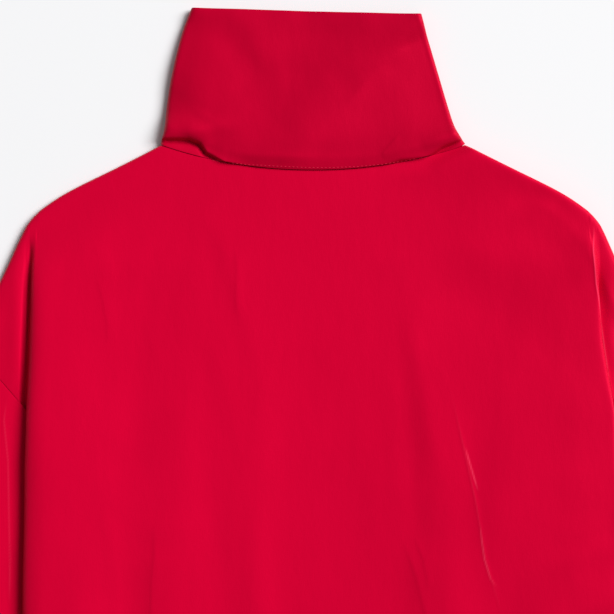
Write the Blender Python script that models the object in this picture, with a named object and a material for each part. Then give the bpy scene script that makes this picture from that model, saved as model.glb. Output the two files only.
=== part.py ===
"""A plain zip-up jacket with a tall stand collar and dropped shoulders, laid out flat on its front.

The back faces up, the collar points along +Y and the wearer's left sleeve lies on the -X side.
Each cut piece is a sheet of cloth worked out from its outline and its layer, then given a wall.
All lengths are in metres. Heights in the tables are those of the middle of the cloth.
"""

import math

import bmesh
import bpy
from mathutils import Matrix, Vector

# Driving sizes of the garment
CLOTH = 0.0020          # wall of the body and sleeve cloth
COLLAR_CLOTH = 0.0030   # wall of the collar, which is two layers of cloth
SEAM_GAP = 0.0003       # space between pieces at a seam
PITCH = 0.0032          # from the middle of one layer to the next one that lies on it
HEM_Y = -0.640          # hem below the nape, at the centre back
NAPE_DIP = 0.021        # how far the back neck seam dips between the shoulders
FRONT_NECK_Y = -0.038   # front neck seam at the zip
NECK_HALF = 0.1265      # half the width between the shoulders' neck points
NECK_Y = 0.0200         # height of those neck points above the nape
COLLAR_TOP_Y = 0.1320   # highest point of the collar
FRONT_COLLAR_TOP_Y = 0.090
PLEAT_TIP_Y = -0.052    # where the fold beside the arm begins, just inside the shoulder
PLEAT_TIP_HALF = 0.2300
ORIGIN_Y = 0.2538       # brings the middle of the jacket to the origin

# Heights of the layers' middles above the surface
FLOOR_LAYER = CLOTH / 2
EDGE_ROLL = 0.0026      # radius of a soft rolled edge
TIGHT_ROLL = PITCH / 2  # radius of an edge that lies pressed under the body
ARM_TOP = FLOOR_LAYER + 2 * EDGE_ROLL
SECOND_LAYER = FLOOR_LAYER + PITCH
STACK = 2 * PITCH       # what the sleeve lifts the body's side by
BACK_BASE = ARM_TOP     # the back where nothing but the front lies under it
COLLAR_FLOOR = COLLAR_CLOTH / 2
COLLAR_BASE = BACK_BASE - CLOTH / 2 + COLLAR_CLOTH / 2
COLLAR_BACK = COLLAR_FLOOR + 0.0060

# The zip, whose slider lies on the surface's side of it
ZIP_SLOT_HALF = 0.0055  # half the space between the two front edges
TAPE_EDGE = 0.0163
TAPE_CLOTH = 0.0010
TAPE_LOW = CLOTH + SEAM_GAP + TAPE_CLOTH / 2
TAPE_HIGH = COLLAR_CLOTH + SEAM_GAP + TAPE_CLOTH / 2
COIL_GAP = 0.0003
COIL_HALF = 0.0024
COIL_DEPTH = 0.0018
COIL_END_Y = 0.0712
ZIP_LIFT = 0.0016       # how far the collar's front lifts over the slider
SLIDER_Y = 0.0700

# The shoulder's silhouette from the neck point, over the turn, to the top of the armhole seam
OUTLINE_COLUMNS = ("x", "y")
SHOULDER_OUTLINE = (
    (0.1265, 0.0200),
    (0.1450, 0.0098),
    (0.1710, -0.0033),
    (0.1980, -0.0164),
    (0.2195, -0.0295),
    (0.2330, -0.0426),
    (0.2410, -0.0558),
    (0.2490, -0.0750),
    (0.2600, -0.0970),
    (0.2800, -0.1460),
)
ARMHOLE_TOP = (0.2800, -0.1460)
ARMHOLE_LOW = (0.1780, -0.2640)
UNDERARM = (0.1680, -0.2756)    # where the side seam meets the line of the armhole
UNDERARM_Y = UNDERARM[1]

# The body's side from the hem up: its visible fold, and how far the sleeve lifts it
SIDE_COLUMNS = ("y", "fold_left", "fold_right", "lift")
BODY_SIDE = (
    (-0.640, 0.240, 0.247, 0.00),
    (-0.622, 0.2395, 0.2475, 0.35),
    (-0.600, 0.239, 0.248, 0.92),
    (-0.580, 0.2385, 0.249, 1.00),
    (-0.540, 0.238, 0.250, 1.00),
    (-0.470, 0.237, 0.251, 1.00),
    (-0.370, 0.237, 0.251, 1.00),
    (-0.2756, 0.235, 0.249, 1.00),
)
ROLL_SEAM_ROOM = 0.0007     # more space where a seam goes round a rolled edge at a slant
TUCK_PAST_SLEEVE = 0.0125   # from the sleeve's inner edge to the side seam
LEAST_TUCK = 0.0120

# The fold beside the arm, from its tip down: its rise, where the tuck turns back onto the arm,
# and the radius of that turn
PLEAT_COLUMNS = ("down", "rise", "apart", "share", "turn")
PLEAT = (
    (0.00, 0.00, 0.0056, 0.00, 0.0028),
    (0.07, 0.42, 0.0056, 0.00, 0.0028),
    (0.13, 0.85, 0.0054, 0.00, 0.0026),
    (0.20, 1.00, 0.0048, 0.02, 0.0022),
    (0.35, 1.00, 0.0000, 0.19, 0.0016),
    (0.65, 1.00, 0.0000, 0.58, 0.0016),
    (1.00, 1.00, 0.0000, 1.00, 0.0016),
)

# The sleeve from the armhole to the cuff: its outer and inner silhouette
SLEEVE_COLUMNS = ("ring", "outer_x", "outer_y", "inner_x", "inner_y")
SLEEVE_RINGS = (
    (0, 0.2800, -0.1460, 0.1780, -0.2640),
    (1, 0.2975, -0.2000, 0.1830, -0.3030),
    (2, 0.3135, -0.2600, 0.1910, -0.3470),
    (3, 0.3280, -0.3260, 0.2010, -0.3960),
    (4, 0.3410, -0.3960, 0.2120, -0.4480),
    (5, 0.3510, -0.4660, 0.2240, -0.5010),
    (6, 0.3590, -0.5300, 0.2400, -0.5520),
    (7, 0.3650, -0.5880, 0.2500, -0.6020),
    (8, 0.3690, -0.6260, 0.2550, -0.6360),
)
SLEEVE_CROWN = 0.0026

# The collar's silhouette from its seam to its top edge
COLLAR_COLUMNS = ("up", "left_x", "left_y", "right_x", "right_y")
COLLAR_SIDES = (
    (0.00, 0.1265, 0.0200, 0.1265, 0.0200),
    (0.13, 0.1222, 0.0340, 0.1170, 0.0330),
    (0.30, 0.1208, 0.0510, 0.1115, 0.0500),
    (0.50, 0.1170, 0.0740, 0.1050, 0.0720),
    (0.75, 0.1110, 0.1010, 0.0970, 0.0990),
    (0.93, 0.1045, 0.1235, 0.0905, 0.1195),
    (1.00, 0.1000, 0.1320, 0.0890, 0.1262),
)

# The collar bulges over its lowest strip at both corners: how far above the seam, and how high
CREASE_COLUMNS = ("x", "above", "bulge")
COLLAR_CREASE = (
    (-0.124, 0.0080, 0.0036),
    (-0.110, 0.0125, 0.0044),
    (-0.098, 0.0140, 0.0040),
    (-0.088, 0.0090, 0.0030),
    (-0.076, 0.0045, 0.0014),
    (-0.062, 0.0030, 0.0000),
    (0.058, 0.0030, 0.0000),
    (0.074, 0.0040, 0.0018),
    (0.092, 0.0035, 0.0034),
    (0.108, 0.0040, 0.0044),
    (0.122, 0.0035, 0.0036),
)

# The large folds of the back: top and low end, sideways bow, width on either side, and height
FOLD_COLUMNS = ("top_x", "top_y", "low_x", "low_y", "bow", "left", "right", "height")
BACK_FOLDS = (
    (-0.083, -0.045, 0.010, -0.640, -0.016, 0.034, 0.020, 0.0042),
    (-0.128, -0.090, -0.098, -0.640, 0.004, 0.026, 0.024, 0.0036),
    (0.074, -0.100, 0.122, -0.640, 0.012, 0.017, 0.034, 0.0050),
    (0.176, -0.160, 0.204, -0.640, 0.004, 0.022, 0.024, 0.0026),
    (-0.186, -0.250, -0.200, -0.640, 0.000, 0.018, 0.020, 0.0022),
    (0.052, -0.360, 0.066, -0.640, 0.003, 0.018, 0.020, 0.0026),
)

# Soft ridges of the shoulder's cloth beside the fold, by distance from the centre
CAP_FOLDS = (
    (0.243, -0.062, 0.241, -0.210, 0.000, 0.007, 0.008, 0.0013),
    (0.262, -0.085, 0.254, -0.210, 0.002, 0.008, 0.009, 0.0012),
)

# The slow swell of cloth that never lies quite flat: its height, and its length each way
SWELL = 0.0005
SWELL_X = 0.042
SWELL_Y = 0.061

# The collar's folds run from a top corner down to the middle
COLLAR_FOLDS = (
    (-0.070, 0.126, -0.010, 0.030, 0.000, 0.010, 0.026, 0.0024),
    (0.086, 0.118, 0.014, 0.030, 0.000, 0.034, 0.012, 0.0030),
)

# The soft folds of a sleeve's upper side: where along it, their slant, width and height
SLEEVE_FOLD_COLUMNS = ("along", "slant", "width", "height")
SLEEVE_FOLDS = (
    (0.26, 0.10, 0.050, 0.0014),
    (0.45, -0.12, 0.045, 0.0020),
    (0.64, 0.10, 0.040, 0.0018),
    (0.84, -0.08, 0.035, 0.0014),
)

# Mesh counts
BODY_ROWS = 13
MAIN_COLUMNS_NECK = 9
MAIN_COLUMNS_SHOULDER = 7
ARC_STEPS = 4
OVER_STEPS = 2
DROP_STEPS = 4
TUCK_STEPS = OVER_STEPS + DROP_STEPS
PRESSED_ARC_STEPS = 3
CAP_STEPS = 6
YOKE_LEVELS = (
    0.0, 0.07, 0.16, 0.28, 0.40, 0.52, 0.62, 0.69, 0.74, 0.79, 0.84, 0.88, 0.92, 0.96, 1.0,
)
TIP_LEVEL = 0.92
LEAD = 0.002            # straight cloth that stands in for a roll where the fold hasn't formed yet
SLEEVE_ROWS = 12
SLEEVE_STEPS = 10
SLEEVE_FLOOR_STEPS = 5
COLLAR_LEVELS = (0.0, 0.04, 0.08, 0.125, 0.18, 0.25, 0.34, 0.46, 0.60, 0.74, 0.88, 1.0)
COLLAR_BACK_STEPS = 20
COLLAR_FRONT_STEPS = 6
COLLAR_ARC_STEPS = 5

RED = (0.62, 0.002, 0.030, 1.0)
TAPE_RED = (0.42, 0.004, 0.022, 1.0)
METAL = (0.55, 0.56, 0.58, 1.0)


def smooth(value):
    """Rises gently from 0 to 1 as value does."""
    value = min(1.0, max(0.0, value))
    return value * value * (3 - 2 * value)


def clip(value):
    return min(1.0, max(0.0, value))


def mix(first, second, share):
    return first + (second - first) * share


def mix_points(first, second, share):
    return tuple(mix(a, b, share) for a, b in zip(first, second))


def unit(x, y):
    size = math.hypot(x, y)
    return x / size, y / size


def read(table, columns, key, wanted, at):
    """The wanted column of a table at a value of its key column, with no overshoot between the rows."""
    k = columns.index(key)
    w = columns.index(wanted)
    rows = sorted(table, key=lambda row: row[k])
    xs = [row[k] for row in rows]
    ys = [row[w] for row in rows]
    if at <= xs[0]:
        return ys[0]
    if at >= xs[-1]:
        return ys[-1]
    slopes = [(ys[i + 1] - ys[i]) / (xs[i + 1] - xs[i]) for i in range(len(xs) - 1)]
    i = max(n for n in range(len(xs) - 1) if xs[n] <= at)

    def tangent(n):
        if n == 0 or n == len(xs) - 1:
            return slopes[min(n, len(slopes) - 1)]
        before, after = slopes[n - 1], slopes[n]
        return 0.0 if before * after <= 0 else 2 * before * after / (before + after)

    step = xs[i + 1] - xs[i]
    t = (at - xs[i]) / step
    value = (2 * t**3 - 3 * t**2 + 1) * ys[i] + (-2 * t**3 + 3 * t**2) * ys[i + 1]
    return value + step * ((t**3 - 2 * t**2 + t) * tangent(i) + (t**3 - t**2) * tangent(i + 1))


def with_distance(points):
    """The points as rows that start with their distance along the line, as a share of the whole."""
    run = [0.0]
    for before, after in zip(points, points[1:]):
        run.append(run[-1] + math.dist(before, after))
    return tuple((d / run[-1], *p) for d, p in zip(run, points))


OUTLINE = with_distance(SHOULDER_OUTLINE)
NECK_OUT = unit(1.0, 2.1 * NAPE_DIP / NECK_HALF)
ARMHOLE_OUT = unit(ARMHOLE_TOP[0] - ARMHOLE_LOW[0], ARMHOLE_TOP[1] - ARMHOLE_LOW[1])
ARMHOLE_ALONG = (ARMHOLE_OUT[1], -ARMHOLE_OUT[0])   # from the body towards the sleeve


def outline_point(share):
    """(x, y) of the shoulder's silhouette at a share of its length, from the neck to the armhole."""
    columns = ("share", *OUTLINE_COLUMNS)
    return (
        read(OUTLINE, columns, "share", "x", share),
        read(OUTLINE, columns, "share", "y", share),
    )


def roll_centre(share):
    """The line that the shoulder's rolled edge turns about, and the way out of the cloth there.

    At either end the way out runs along the neck seam or the armhole seam.
    """
    x, y = outline_point(share)
    before = outline_point(max(0.0, share - 0.01))
    after = outline_point(min(1.0, share + 0.01))
    along = unit(after[0] - before[0], after[1] - before[1])
    out = (-along[1], along[0])
    near_neck = 1 - smooth(share / 0.16)
    near_arm = smooth((share - 0.80) / 0.20)
    turned = unit(
        out[0] + near_neck * (NECK_OUT[0] - out[0]) + near_arm * (ARMHOLE_OUT[0] - out[0]),
        out[1] + near_neck * (NECK_OUT[1] - out[1]) + near_arm * (ARMHOLE_OUT[1] - out[1]),
    )
    squareness = max(0.5, turned[0] * out[0] + turned[1] * out[1])
    inset = (EDGE_ROLL + CLOTH / 2) / squareness
    return (x - inset * turned[0], y - inset * turned[1]), turned


def strip_width(share):
    """Width of the back's cloth that passes under the shoulder edge to its seam."""
    return 0.0012 + 0.0100 * smooth(share / 0.25) * smooth((1 - share) / 0.25)


def front_edge(share):
    """(x, y) of the front's edge along the shoulder seam."""
    (x, y), out = roll_centre(share)
    inset = strip_width(share) + SEAM_GAP
    return x - inset * out[0], y - inset * out[1]


def back_neck_y(x):
    return NECK_Y - NAPE_DIP + NAPE_DIP * (abs(x) / NECK_HALF) ** 2.1


def front_neck_y(x):
    end_x, end_y = front_edge(0.0)
    return end_y - (end_y - FRONT_NECK_Y) * (1 - (min(abs(x), end_x) / end_x) ** 1.8)


def side_value(y, wanted):
    return read(BODY_SIDE, SIDE_COLUMNS, "y", wanted, y)


def fold_half(side, y):
    """Distance from the centre to the body's visible side fold."""
    low = side_value(min(y, UNDERARM_Y), "fold_left" if side < 0 else "fold_right")
    return mix(low, PLEAT_TIP_HALF, clip((y - UNDERARM_Y) / (PLEAT_TIP_Y - UNDERARM_Y)))


def sleeve_inner(y):
    """Distance from the centre to the sleeve's inner silhouette."""
    return read(SLEEVE_RINGS, SLEEVE_COLUMNS, "inner_y", "inner_x", y)


def side_seam(side, y):
    """Distance from the centre to the side seam, which lies on the surface."""
    if y >= UNDERARM_Y:
        return UNDERARM[0]
    wanted = min(sleeve_inner(y) - TUCK_PAST_SLEEVE, fold_half(side, y) - LEAST_TUCK)
    return mix(UNDERARM[0], wanted, smooth((UNDERARM_Y - y) / 0.060))


def fold_shape(folds, x, y):
    """Height that a table of long folds adds at a point."""
    total = 0.0
    for row in folds:
        fold = dict(zip(FOLD_COLUMNS, row))
        down = (fold["top_y"] - y) / (fold["top_y"] - fold["low_y"])
        if down <= 0 or down > 1.3:
            continue
        middle = mix(fold["top_x"], fold["low_x"], down) + 4 * fold["bow"] * down * (1 - down)
        width = fold["left"] if x < middle else fold["right"]
        total += fold["height"] * smooth(down / 0.30) * math.exp(-(((x - middle) / width) ** 2))
    return total


def swell(x, y):
    return SWELL * math.sin(x / SWELL_X + y / SWELL_Y) * math.cos(y / SWELL_Y - x / SWELL_X / 2)


def back_folds(x, y):
    """The back's folds, which die out at the shoulder, the neck and the side folds."""
    top = back_neck_y(x) if abs(x) < NECK_HALF else mix(NECK_Y, -0.042, (abs(x) - NECK_HALF) / 0.105)
    below_edge = smooth((top - y) / 0.050)
    from_side = smooth((0.232 - abs(x)) / 0.030)
    return below_edge * from_side * (fold_shape(BACK_FOLDS, x, y) + swell(x, y))


def cap_folds(side, x, y):
    """The folds of the shoulder's cloth, where it shows beside the body's fold."""
    outside = smooth((abs(x) - fold_half(side, y) - 0.001) / 0.008)
    return outside * (fold_shape(CAP_FOLDS, abs(x), y) + swell(x, y))


def fold_section(half, rise, reach, tight, tuck_shares):
    """Section through the fold beside the arm, as (distance from the centre, height) points.

    It runs out along the back, rolls over the visible edge, returns under it to the tuck,
    and rolls back out onto the arm. The two rolls are joined by their common inner tangent.
    The points come in three groups: the upper roll, the tuck and the lower roll.
    """
    top = BACK_BASE + STACK * rise
    bottom = mix(ARM_TOP, SECOND_LAYER, rise)
    upper = (half - CLOTH / 2 - EDGE_ROLL, top - EDGE_ROLL)
    lower = (upper[0] - reach, bottom + tight)
    off = (lower[0] - upper[0], lower[1] - upper[1])
    span = max(math.hypot(*off), EDGE_ROLL + tight)
    turn = math.atan2(off[0], off[1]) % (2 * math.pi) - math.acos((EDGE_ROLL + tight) / span)
    turn = min(math.pi, max(0.0, turn))
    lead = LEAD * (1 - turn / math.pi)

    def on_upper(angle):
        return (upper[0] + EDGE_ROLL * math.sin(angle), upper[1] + EDGE_ROLL * math.cos(angle))

    def on_lower(angle):
        return (lower[0] - tight * math.sin(angle), lower[1] - tight * math.cos(angle))

    leave, meet = on_upper(turn), on_lower(turn)
    tuck = math.dist(leave, meet)
    marks = [lead, EDGE_ROLL * turn, tuck, tight * turn, lead]

    def point(gone):
        if gone <= marks[0]:
            return (upper[0] - lead + gone, top)
        gone -= marks[0]
        if gone <= marks[1]:
            return on_upper(gone / EDGE_ROLL)
        gone -= marks[1]
        if gone <= tuck:
            return mix_points(leave, meet, gone / max(tuck, 1e-9))
        gone -= tuck
        if gone <= marks[3]:
            return on_lower(turn - gone / tight)
        return (lower[0] + gone - marks[3], bottom)

    first_length, last_length = marks[0] + marks[1], marks[3] + marks[4]
    stations = [first_length * n / ARC_STEPS for n in range(ARC_STEPS + 1)]
    stations += [first_length + tuck * share for share in tuck_shares]
    start = first_length + tuck
    stations += [start + last_length * n / PRESSED_ARC_STEPS for n in range(1, PRESSED_ARC_STEPS + 1)]
    even = 1 - smooth(tuck / 0.020)
    count = len(stations) - 1
    points = [point(mix(s, stations[-1] * n / count, even)) for n, s in enumerate(stations)]
    tuck_end = ARC_STEPS + TUCK_STEPS + 1
    return points[: ARC_STEPS + 1], points[ARC_STEPS + 1 : tuck_end], points[tuck_end:]


def low_tuck_shares():
    """Shares of the tuck's width at its columns by the underarm: closer past the sleeve's inner edge."""
    roll = side_value(UNDERARM_Y, "fold_left") - CLOTH / 2 - EDGE_ROLL
    over = (roll - sleeve_inner(UNDERARM_Y)) / (roll - UNDERARM[0])
    shares = [over * n / OVER_STEPS for n in range(1, OVER_STEPS + 1)]
    return shares + [mix(over, 1.0, n / DROP_STEPS) for n in range(1, DROP_STEPS + 1)]


LOW_TUCK_SHARES = low_tuck_shares()


def arm_top(side, x, y, from_inner=1.0):
    """Height of the arm's upper cloth: pressed flat under the body, and fuller where it shows."""
    down = (PLEAT_TIP_Y - y) / (PLEAT_TIP_Y - UNDERARM_Y)
    rise = read(PLEAT, PLEAT_COLUMNS, "down", "rise", clip(down))
    lift = rise if y > UNDERARM_Y else side_value(y, "lift")
    outside = abs(x) - fold_half(side, y) + 0.002
    pressed = min(1.0, lift * 1.4) * (1 - smooth(outside / 0.016))
    pressed = max(pressed, 1 - smooth(from_inner / 0.016))
    return mix(ARM_TOP, SECOND_LAYER, pressed)


class BackSide:
    """The points of the back on one side, from the centre out. Distances are positive outwards."""

    TURN_SHARE = 0.47     # where along the shoulder outline the back's last main column meets it
    ARM_SHARE = 0.545     # where the arm's own columns begin
    NECK_COLUMN = 0.55    # the main column that ends at the neck point
    NECK_COLUMN_LOW_X = 0.142
    CREST = 0.050         # how far in from the sleeve the back takes to sink to its own height

    def __init__(self, side):
        self.side = side

    def edge_point(self, share):
        """A point of the shoulder's rolled edge, where the roll begins."""
        (x, y), _ = roll_centre(share)
        return (x, y, ARM_TOP)

    def level_y(self, level):
        return mix(UNDERARM_Y, self.edge_point(self.TURN_SHARE)[1], level)

    def section(self, level):
        """The fold beside the arm at a level between the underarm (0) and the shoulder (1)."""
        level = min(level, TIP_LEVEL)
        down = (TIP_LEVEL - level) / TIP_LEVEL
        rise, apart, share, tight = (
            read(PLEAT, PLEAT_COLUMNS, "down", name, down) for name in PLEAT_COLUMNS[1:]
        )
        half = fold_half(self.side, self.level_y(level))
        full = half - CLOTH / 2 - EDGE_ROLL - UNDERARM[0]
        even = smooth(level / 0.35)
        spacing = [mix(low, (n + 1) / TUCK_STEPS, even) for n, low in enumerate(LOW_TUCK_SHARES)]
        return fold_section(half, rise, share * full - apart, tight, spacing), rise, share * full

    def height(self, x, y, inner, rise):
        """The back's height, lifted over the tuck and the sleeve and carrying its folds."""
        over = 1 - smooth((inner - abs(x)) / self.CREST)
        return BACK_BASE + STACK * rise * over + back_folds(self.side * abs(x), y)

    def main_columns(self):
        """Shares of the back's columns, from 0 at the centre to 1 where the side fold's roll begins."""
        neck = [self.NECK_COLUMN * n / MAIN_COLUMNS_NECK for n in range(MAIN_COLUMNS_NECK + 1)]
        count = MAIN_COLUMNS_SHOULDER
        return neck + [mix(self.NECK_COLUMN, 1.0, n / count) for n in range(1, count + 1)]

    def main_x(self, share, end, neck_x):
        if share <= self.NECK_COLUMN:
            return neck_x * share / self.NECK_COLUMN
        return mix(neck_x, end, (share - self.NECK_COLUMN) / (1 - self.NECK_COLUMN))

    def main_body(self, share, y):
        """A point of the main part below the underarm."""
        lift = side_value(y, "lift")
        half = fold_half(self.side, y)
        x = self.main_x(share, half - CLOTH / 2 - EDGE_ROLL, self.NECK_COLUMN_LOW_X)
        return (x, y, self.height(x, y, min(side_seam(self.side, y), half - 0.03), lift))

    def main_yoke(self, share, level):
        """A point of the main part above the underarm."""
        neck_x, neck_y, _ = self.edge_point(0.0)
        if share <= self.NECK_COLUMN:
            top_x = neck_x * share / self.NECK_COLUMN
            top_y = back_neck_y(top_x) if share < self.NECK_COLUMN else neck_y
        else:
            part = (share - self.NECK_COLUMN) / (1 - self.NECK_COLUMN)
            top_x, top_y, _ = self.edge_point(self.TURN_SHARE * part)
        if level > TIP_LEVEL:
            low = self.main_yoke(share, TIP_LEVEL)
            return mix_points(low, (top_x, top_y, BACK_BASE), (level - TIP_LEVEL) / (1 - TIP_LEVEL))
        (first, _, _), rise, reach = self.section(level)
        x = self.main_x(share, first[0][0], mix(self.NECK_COLUMN_LOW_X, neck_x, level))
        y = mix(UNDERARM_Y, top_y, level)
        half = fold_half(self.side, y)
        inner = min(half - 0.03, half - CLOTH / 2 - EDGE_ROLL - reach)
        return (x, y, self.height(x, y, inner, rise))

    def fold_row(self, level):
        """The upper roll and the tuck above the underarm."""
        if level > TIP_LEVEL:
            low = self.fold_row(TIP_LEVEL)
            total = ARC_STEPS + TUCK_STEPS + PRESSED_ARC_STEPS
            part = (level - TIP_LEVEL) / (1 - TIP_LEVEL)
            shares = [mix(self.TURN_SHARE, self.ARM_SHARE, n / total) for n in range(len(low))]
            return [mix_points(p, self.edge_point(s), part) for p, s in zip(low, shares)]
        (first, second, _), _, _ = self.section(level)
        return [(x, self.level_y(level), z) for x, z in first + second]

    def body_fold_row(self, y):
        """The upper roll and the tuck below the underarm, dropping past the sleeve to the side seam."""
        if y >= UNDERARM_Y:
            return self.fold_row(0.0)
        lift = side_value(y, "lift")
        half = fold_half(self.side, y)
        centre = (half - CLOTH / 2 - EDGE_ROLL, BACK_BASE + STACK * lift - EDGE_ROLL)
        row = []
        for n in range(ARC_STEPS + 1):
            angle = math.pi * n / ARC_STEPS
            x, z = centre[0] + EDGE_ROLL * math.sin(angle), centre[1] + EDGE_ROLL * math.cos(angle)
            row.append((x, y, z))
        seam = side_seam(self.side, y)
        drop = min(sleeve_inner(y), centre[0] - 0.001)
        tuck_z = centre[1] - EDGE_ROLL
        for n in range(1, OVER_STEPS + 1):
            row.append((mix(centre[0], drop, n / OVER_STEPS), y, tuck_z))
        for n in range(1, DROP_STEPS + 1):
            part = n / DROP_STEPS
            row.append((mix(drop, seam, part), y, mix(tuck_z, FLOOR_LAYER, smooth(part / 0.8))))
        return row

    def seam_end(self, level):
        """A point on the armhole seam, from the underarm (0) to the top of the arm (1)."""
        outer, _ = roll_centre(1.0)
        inset = TIGHT_ROLL + CLOTH / 2
        inner = (ARMHOLE_LOW[0] + inset * ARMHOLE_OUT[0], ARMHOLE_LOW[1] + inset * ARMHOLE_OUT[1])
        x, y = mix_points(inner, outer, level)
        return (x, y, arm_top(self.side, x, y, math.dist((x, y), inner)))

    def arm_row(self, level):
        """The lower roll and the arm's upper cloth, from the tuck to the armhole seam."""
        if level > TIP_LEVEL:
            low = self.arm_row(TIP_LEVEL)
            total = ARC_STEPS + TUCK_STEPS + PRESSED_ARC_STEPS
            before = ARC_STEPS + TUCK_STEPS
            shares = [mix(self.TURN_SHARE, self.ARM_SHARE, n / total) for n in range(before, total + 1)]
            shares += [mix(self.ARM_SHARE, 1.0, n / CAP_STEPS) for n in range(1, CAP_STEPS + 1)]
            part = (level - TIP_LEVEL) / (1 - TIP_LEVEL)
            return [mix_points(p, self.edge_point(s), part) for p, s in zip(low, shares)]
        (_, second, third), _, _ = self.section(level)
        y = self.level_y(level)
        points = [(x, y, z) for x, z in [second[-1]] + third]
        start, end = points[-1], self.seam_end(level)
        edge_start, edge_end = self.edge_point(self.ARM_SHARE), self.edge_point(1.0)
        for n in range(1, CAP_STEPS + 1):
            part = n / CAP_STEPS
            edge = self.edge_point(mix(self.ARM_SHARE, 1.0, part))
            straight = mix_points(edge_start, edge_end, part)
            x, y, _ = mix_points(start, end, part)
            x += level**2 * (edge[0] - straight[0])
            y += level**2 * (edge[1] - straight[1])
            inner = math.dist((x, y), self.seam_end(0.0)[:2]) if part == 1 else 1.0
            z = max(arm_top(self.side, x, y, inner), SECOND_LAYER)
            points.append((x, y, z + math.sin(math.pi * part) * cap_folds(self.side, x, y)))
        return points

    def wrap(self, share):
        """From the top over the shoulder's rolled edge to the shoulder seam on the underside."""
        (x, y), out = roll_centre(share)
        points = []
        for n in range(ARC_STEPS + 1):
            angle = math.pi * n / ARC_STEPS
            reach = EDGE_ROLL * math.sin(angle)
            height = FLOOR_LAYER + EDGE_ROLL * (1 + math.cos(angle))
            points.append((x + reach * out[0], y + reach * out[1], height))
        strip = strip_width(share)
        points.append((x - strip * out[0], y - strip * out[1], FLOOR_LAYER))
        return points

    def wrap_shares(self):
        total = ARC_STEPS + TUCK_STEPS + PRESSED_ARC_STEPS
        count = MAIN_COLUMNS_SHOULDER
        shares = [self.TURN_SHARE * n / count for n in range(count + 1)]
        shares += [mix(self.TURN_SHARE, self.ARM_SHARE, n / total) for n in range(1, total + 1)]
        return shares + [mix(self.ARM_SHARE, 1.0, n / CAP_STEPS) for n in range(1, CAP_STEPS + 1)]


def new_object(name, colour, roughness=0.55, metallic=0.0):
    mesh = bpy.data.meshes.new(name)
    obj = bpy.data.objects.new(name, mesh)
    bpy.context.scene.collection.objects.link(obj)
    material = bpy.data.materials.new(name)
    material.use_nodes = True
    shader = material.node_tree.nodes["Principled BSDF"]
    shader.inputs["Base Color"].default_value = colour
    shader.inputs["Roughness"].default_value = roughness
    shader.inputs["Metallic"].default_value = metallic
    material.diffuse_color = colour
    mesh.materials.append(material)
    return obj


def sided(points, side):
    return [(side * x, y, z) for x, y, z in points]


def add_patch(bm, rows):
    """Adds a sheet whose rows are lists of points, all of one length."""
    grid = [[bm.verts.new(point) for point in row] for row in rows]
    for low, high in zip(grid, grid[1:]):
        for a, b, c, d in zip(low, low[1:], high[1:], high):
            bm.faces.new((a, b, c, d))


def finish_mesh(bm, name, colour, roughness=0.55, metallic=0.0):
    """Joins the patches, faces them one way and shifts them to the part's origin."""
    bmesh.ops.remove_doubles(bm, verts=bm.verts, dist=2e-5)
    bmesh.ops.recalc_face_normals(bm, faces=bm.faces)
    bmesh.ops.translate(bm, verts=bm.verts, vec=(0, ORIGIN_Y, 0))
    obj = new_object(name, colour, roughness, metallic)
    bm.to_mesh(obj.data)
    bm.free()
    obj.data.shade_smooth()
    return obj


def add_wall(obj, wall):
    solid = obj.modifiers.new("wall", "SOLIDIFY")
    solid.thickness = wall
    solid.offset = 0
    solid.use_even_offset = True
    return obj


# Back
def make_back():
    bm = bmesh.new()
    for side in (-1, 1):
        back = BackSide(side)
        rows = []
        for y in body_levels():
            main = [back.main_body(share, y) for share in back.main_columns()]
            rows.append(sided(main[:-1] + back.body_fold_row(y), side))
        add_patch(bm, rows)
        rows = []
        for level in YOKE_LEVELS:
            main = [back.main_yoke(share, level) for share in back.main_columns()]
            rows.append(sided(main[:-1] + back.fold_row(level), side))
        add_patch(bm, rows)
        add_patch(bm, [sided(back.arm_row(level), side) for level in YOKE_LEVELS])
        add_patch(bm, [sided(back.wrap(share), side) for share in back.wrap_shares()])
    return add_wall(finish_mesh(bm, "back", RED), CLOTH)


# Fronts, which lie flat on the surface
def body_levels():
    """Heights of the body's rows, from the hem to the underarm."""
    levels = [mix(HEM_Y, UNDERARM_Y, n / BODY_ROWS) for n in range(BODY_ROWS + 1)]
    return sorted(levels + [UNDERARM_Y - 0.012])


def front_neck_points():
    """The front's neck edge, from the zip to the neck point."""
    end_x, _ = front_edge(0.0)
    count = COLLAR_FRONT_STEPS
    xs = [mix(ZIP_SLOT_HALF, end_x, n / count) for n in range(count + 1)]
    return [(x, front_neck_y(x)) for x in xs]


def make_front(name, side):
    """Follows the front's outline from the hem at the zip, and fills it."""
    bm = bmesh.new()
    outline = [(ZIP_SLOT_HALF, HEM_Y)]
    outline += [(side_seam(side, y) - SEAM_GAP, y) for y in body_levels()]
    outline += [front_edge(share) for share in reversed(BackSide(side).wrap_shares())]
    outline += list(reversed(front_neck_points()))[1:]
    verts = [bm.verts.new((side * x, y, FLOOR_LAYER)) for x, y in outline]
    bm.faces.new(verts)
    return add_wall(finish_mesh(bm, name, RED), CLOTH)


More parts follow.
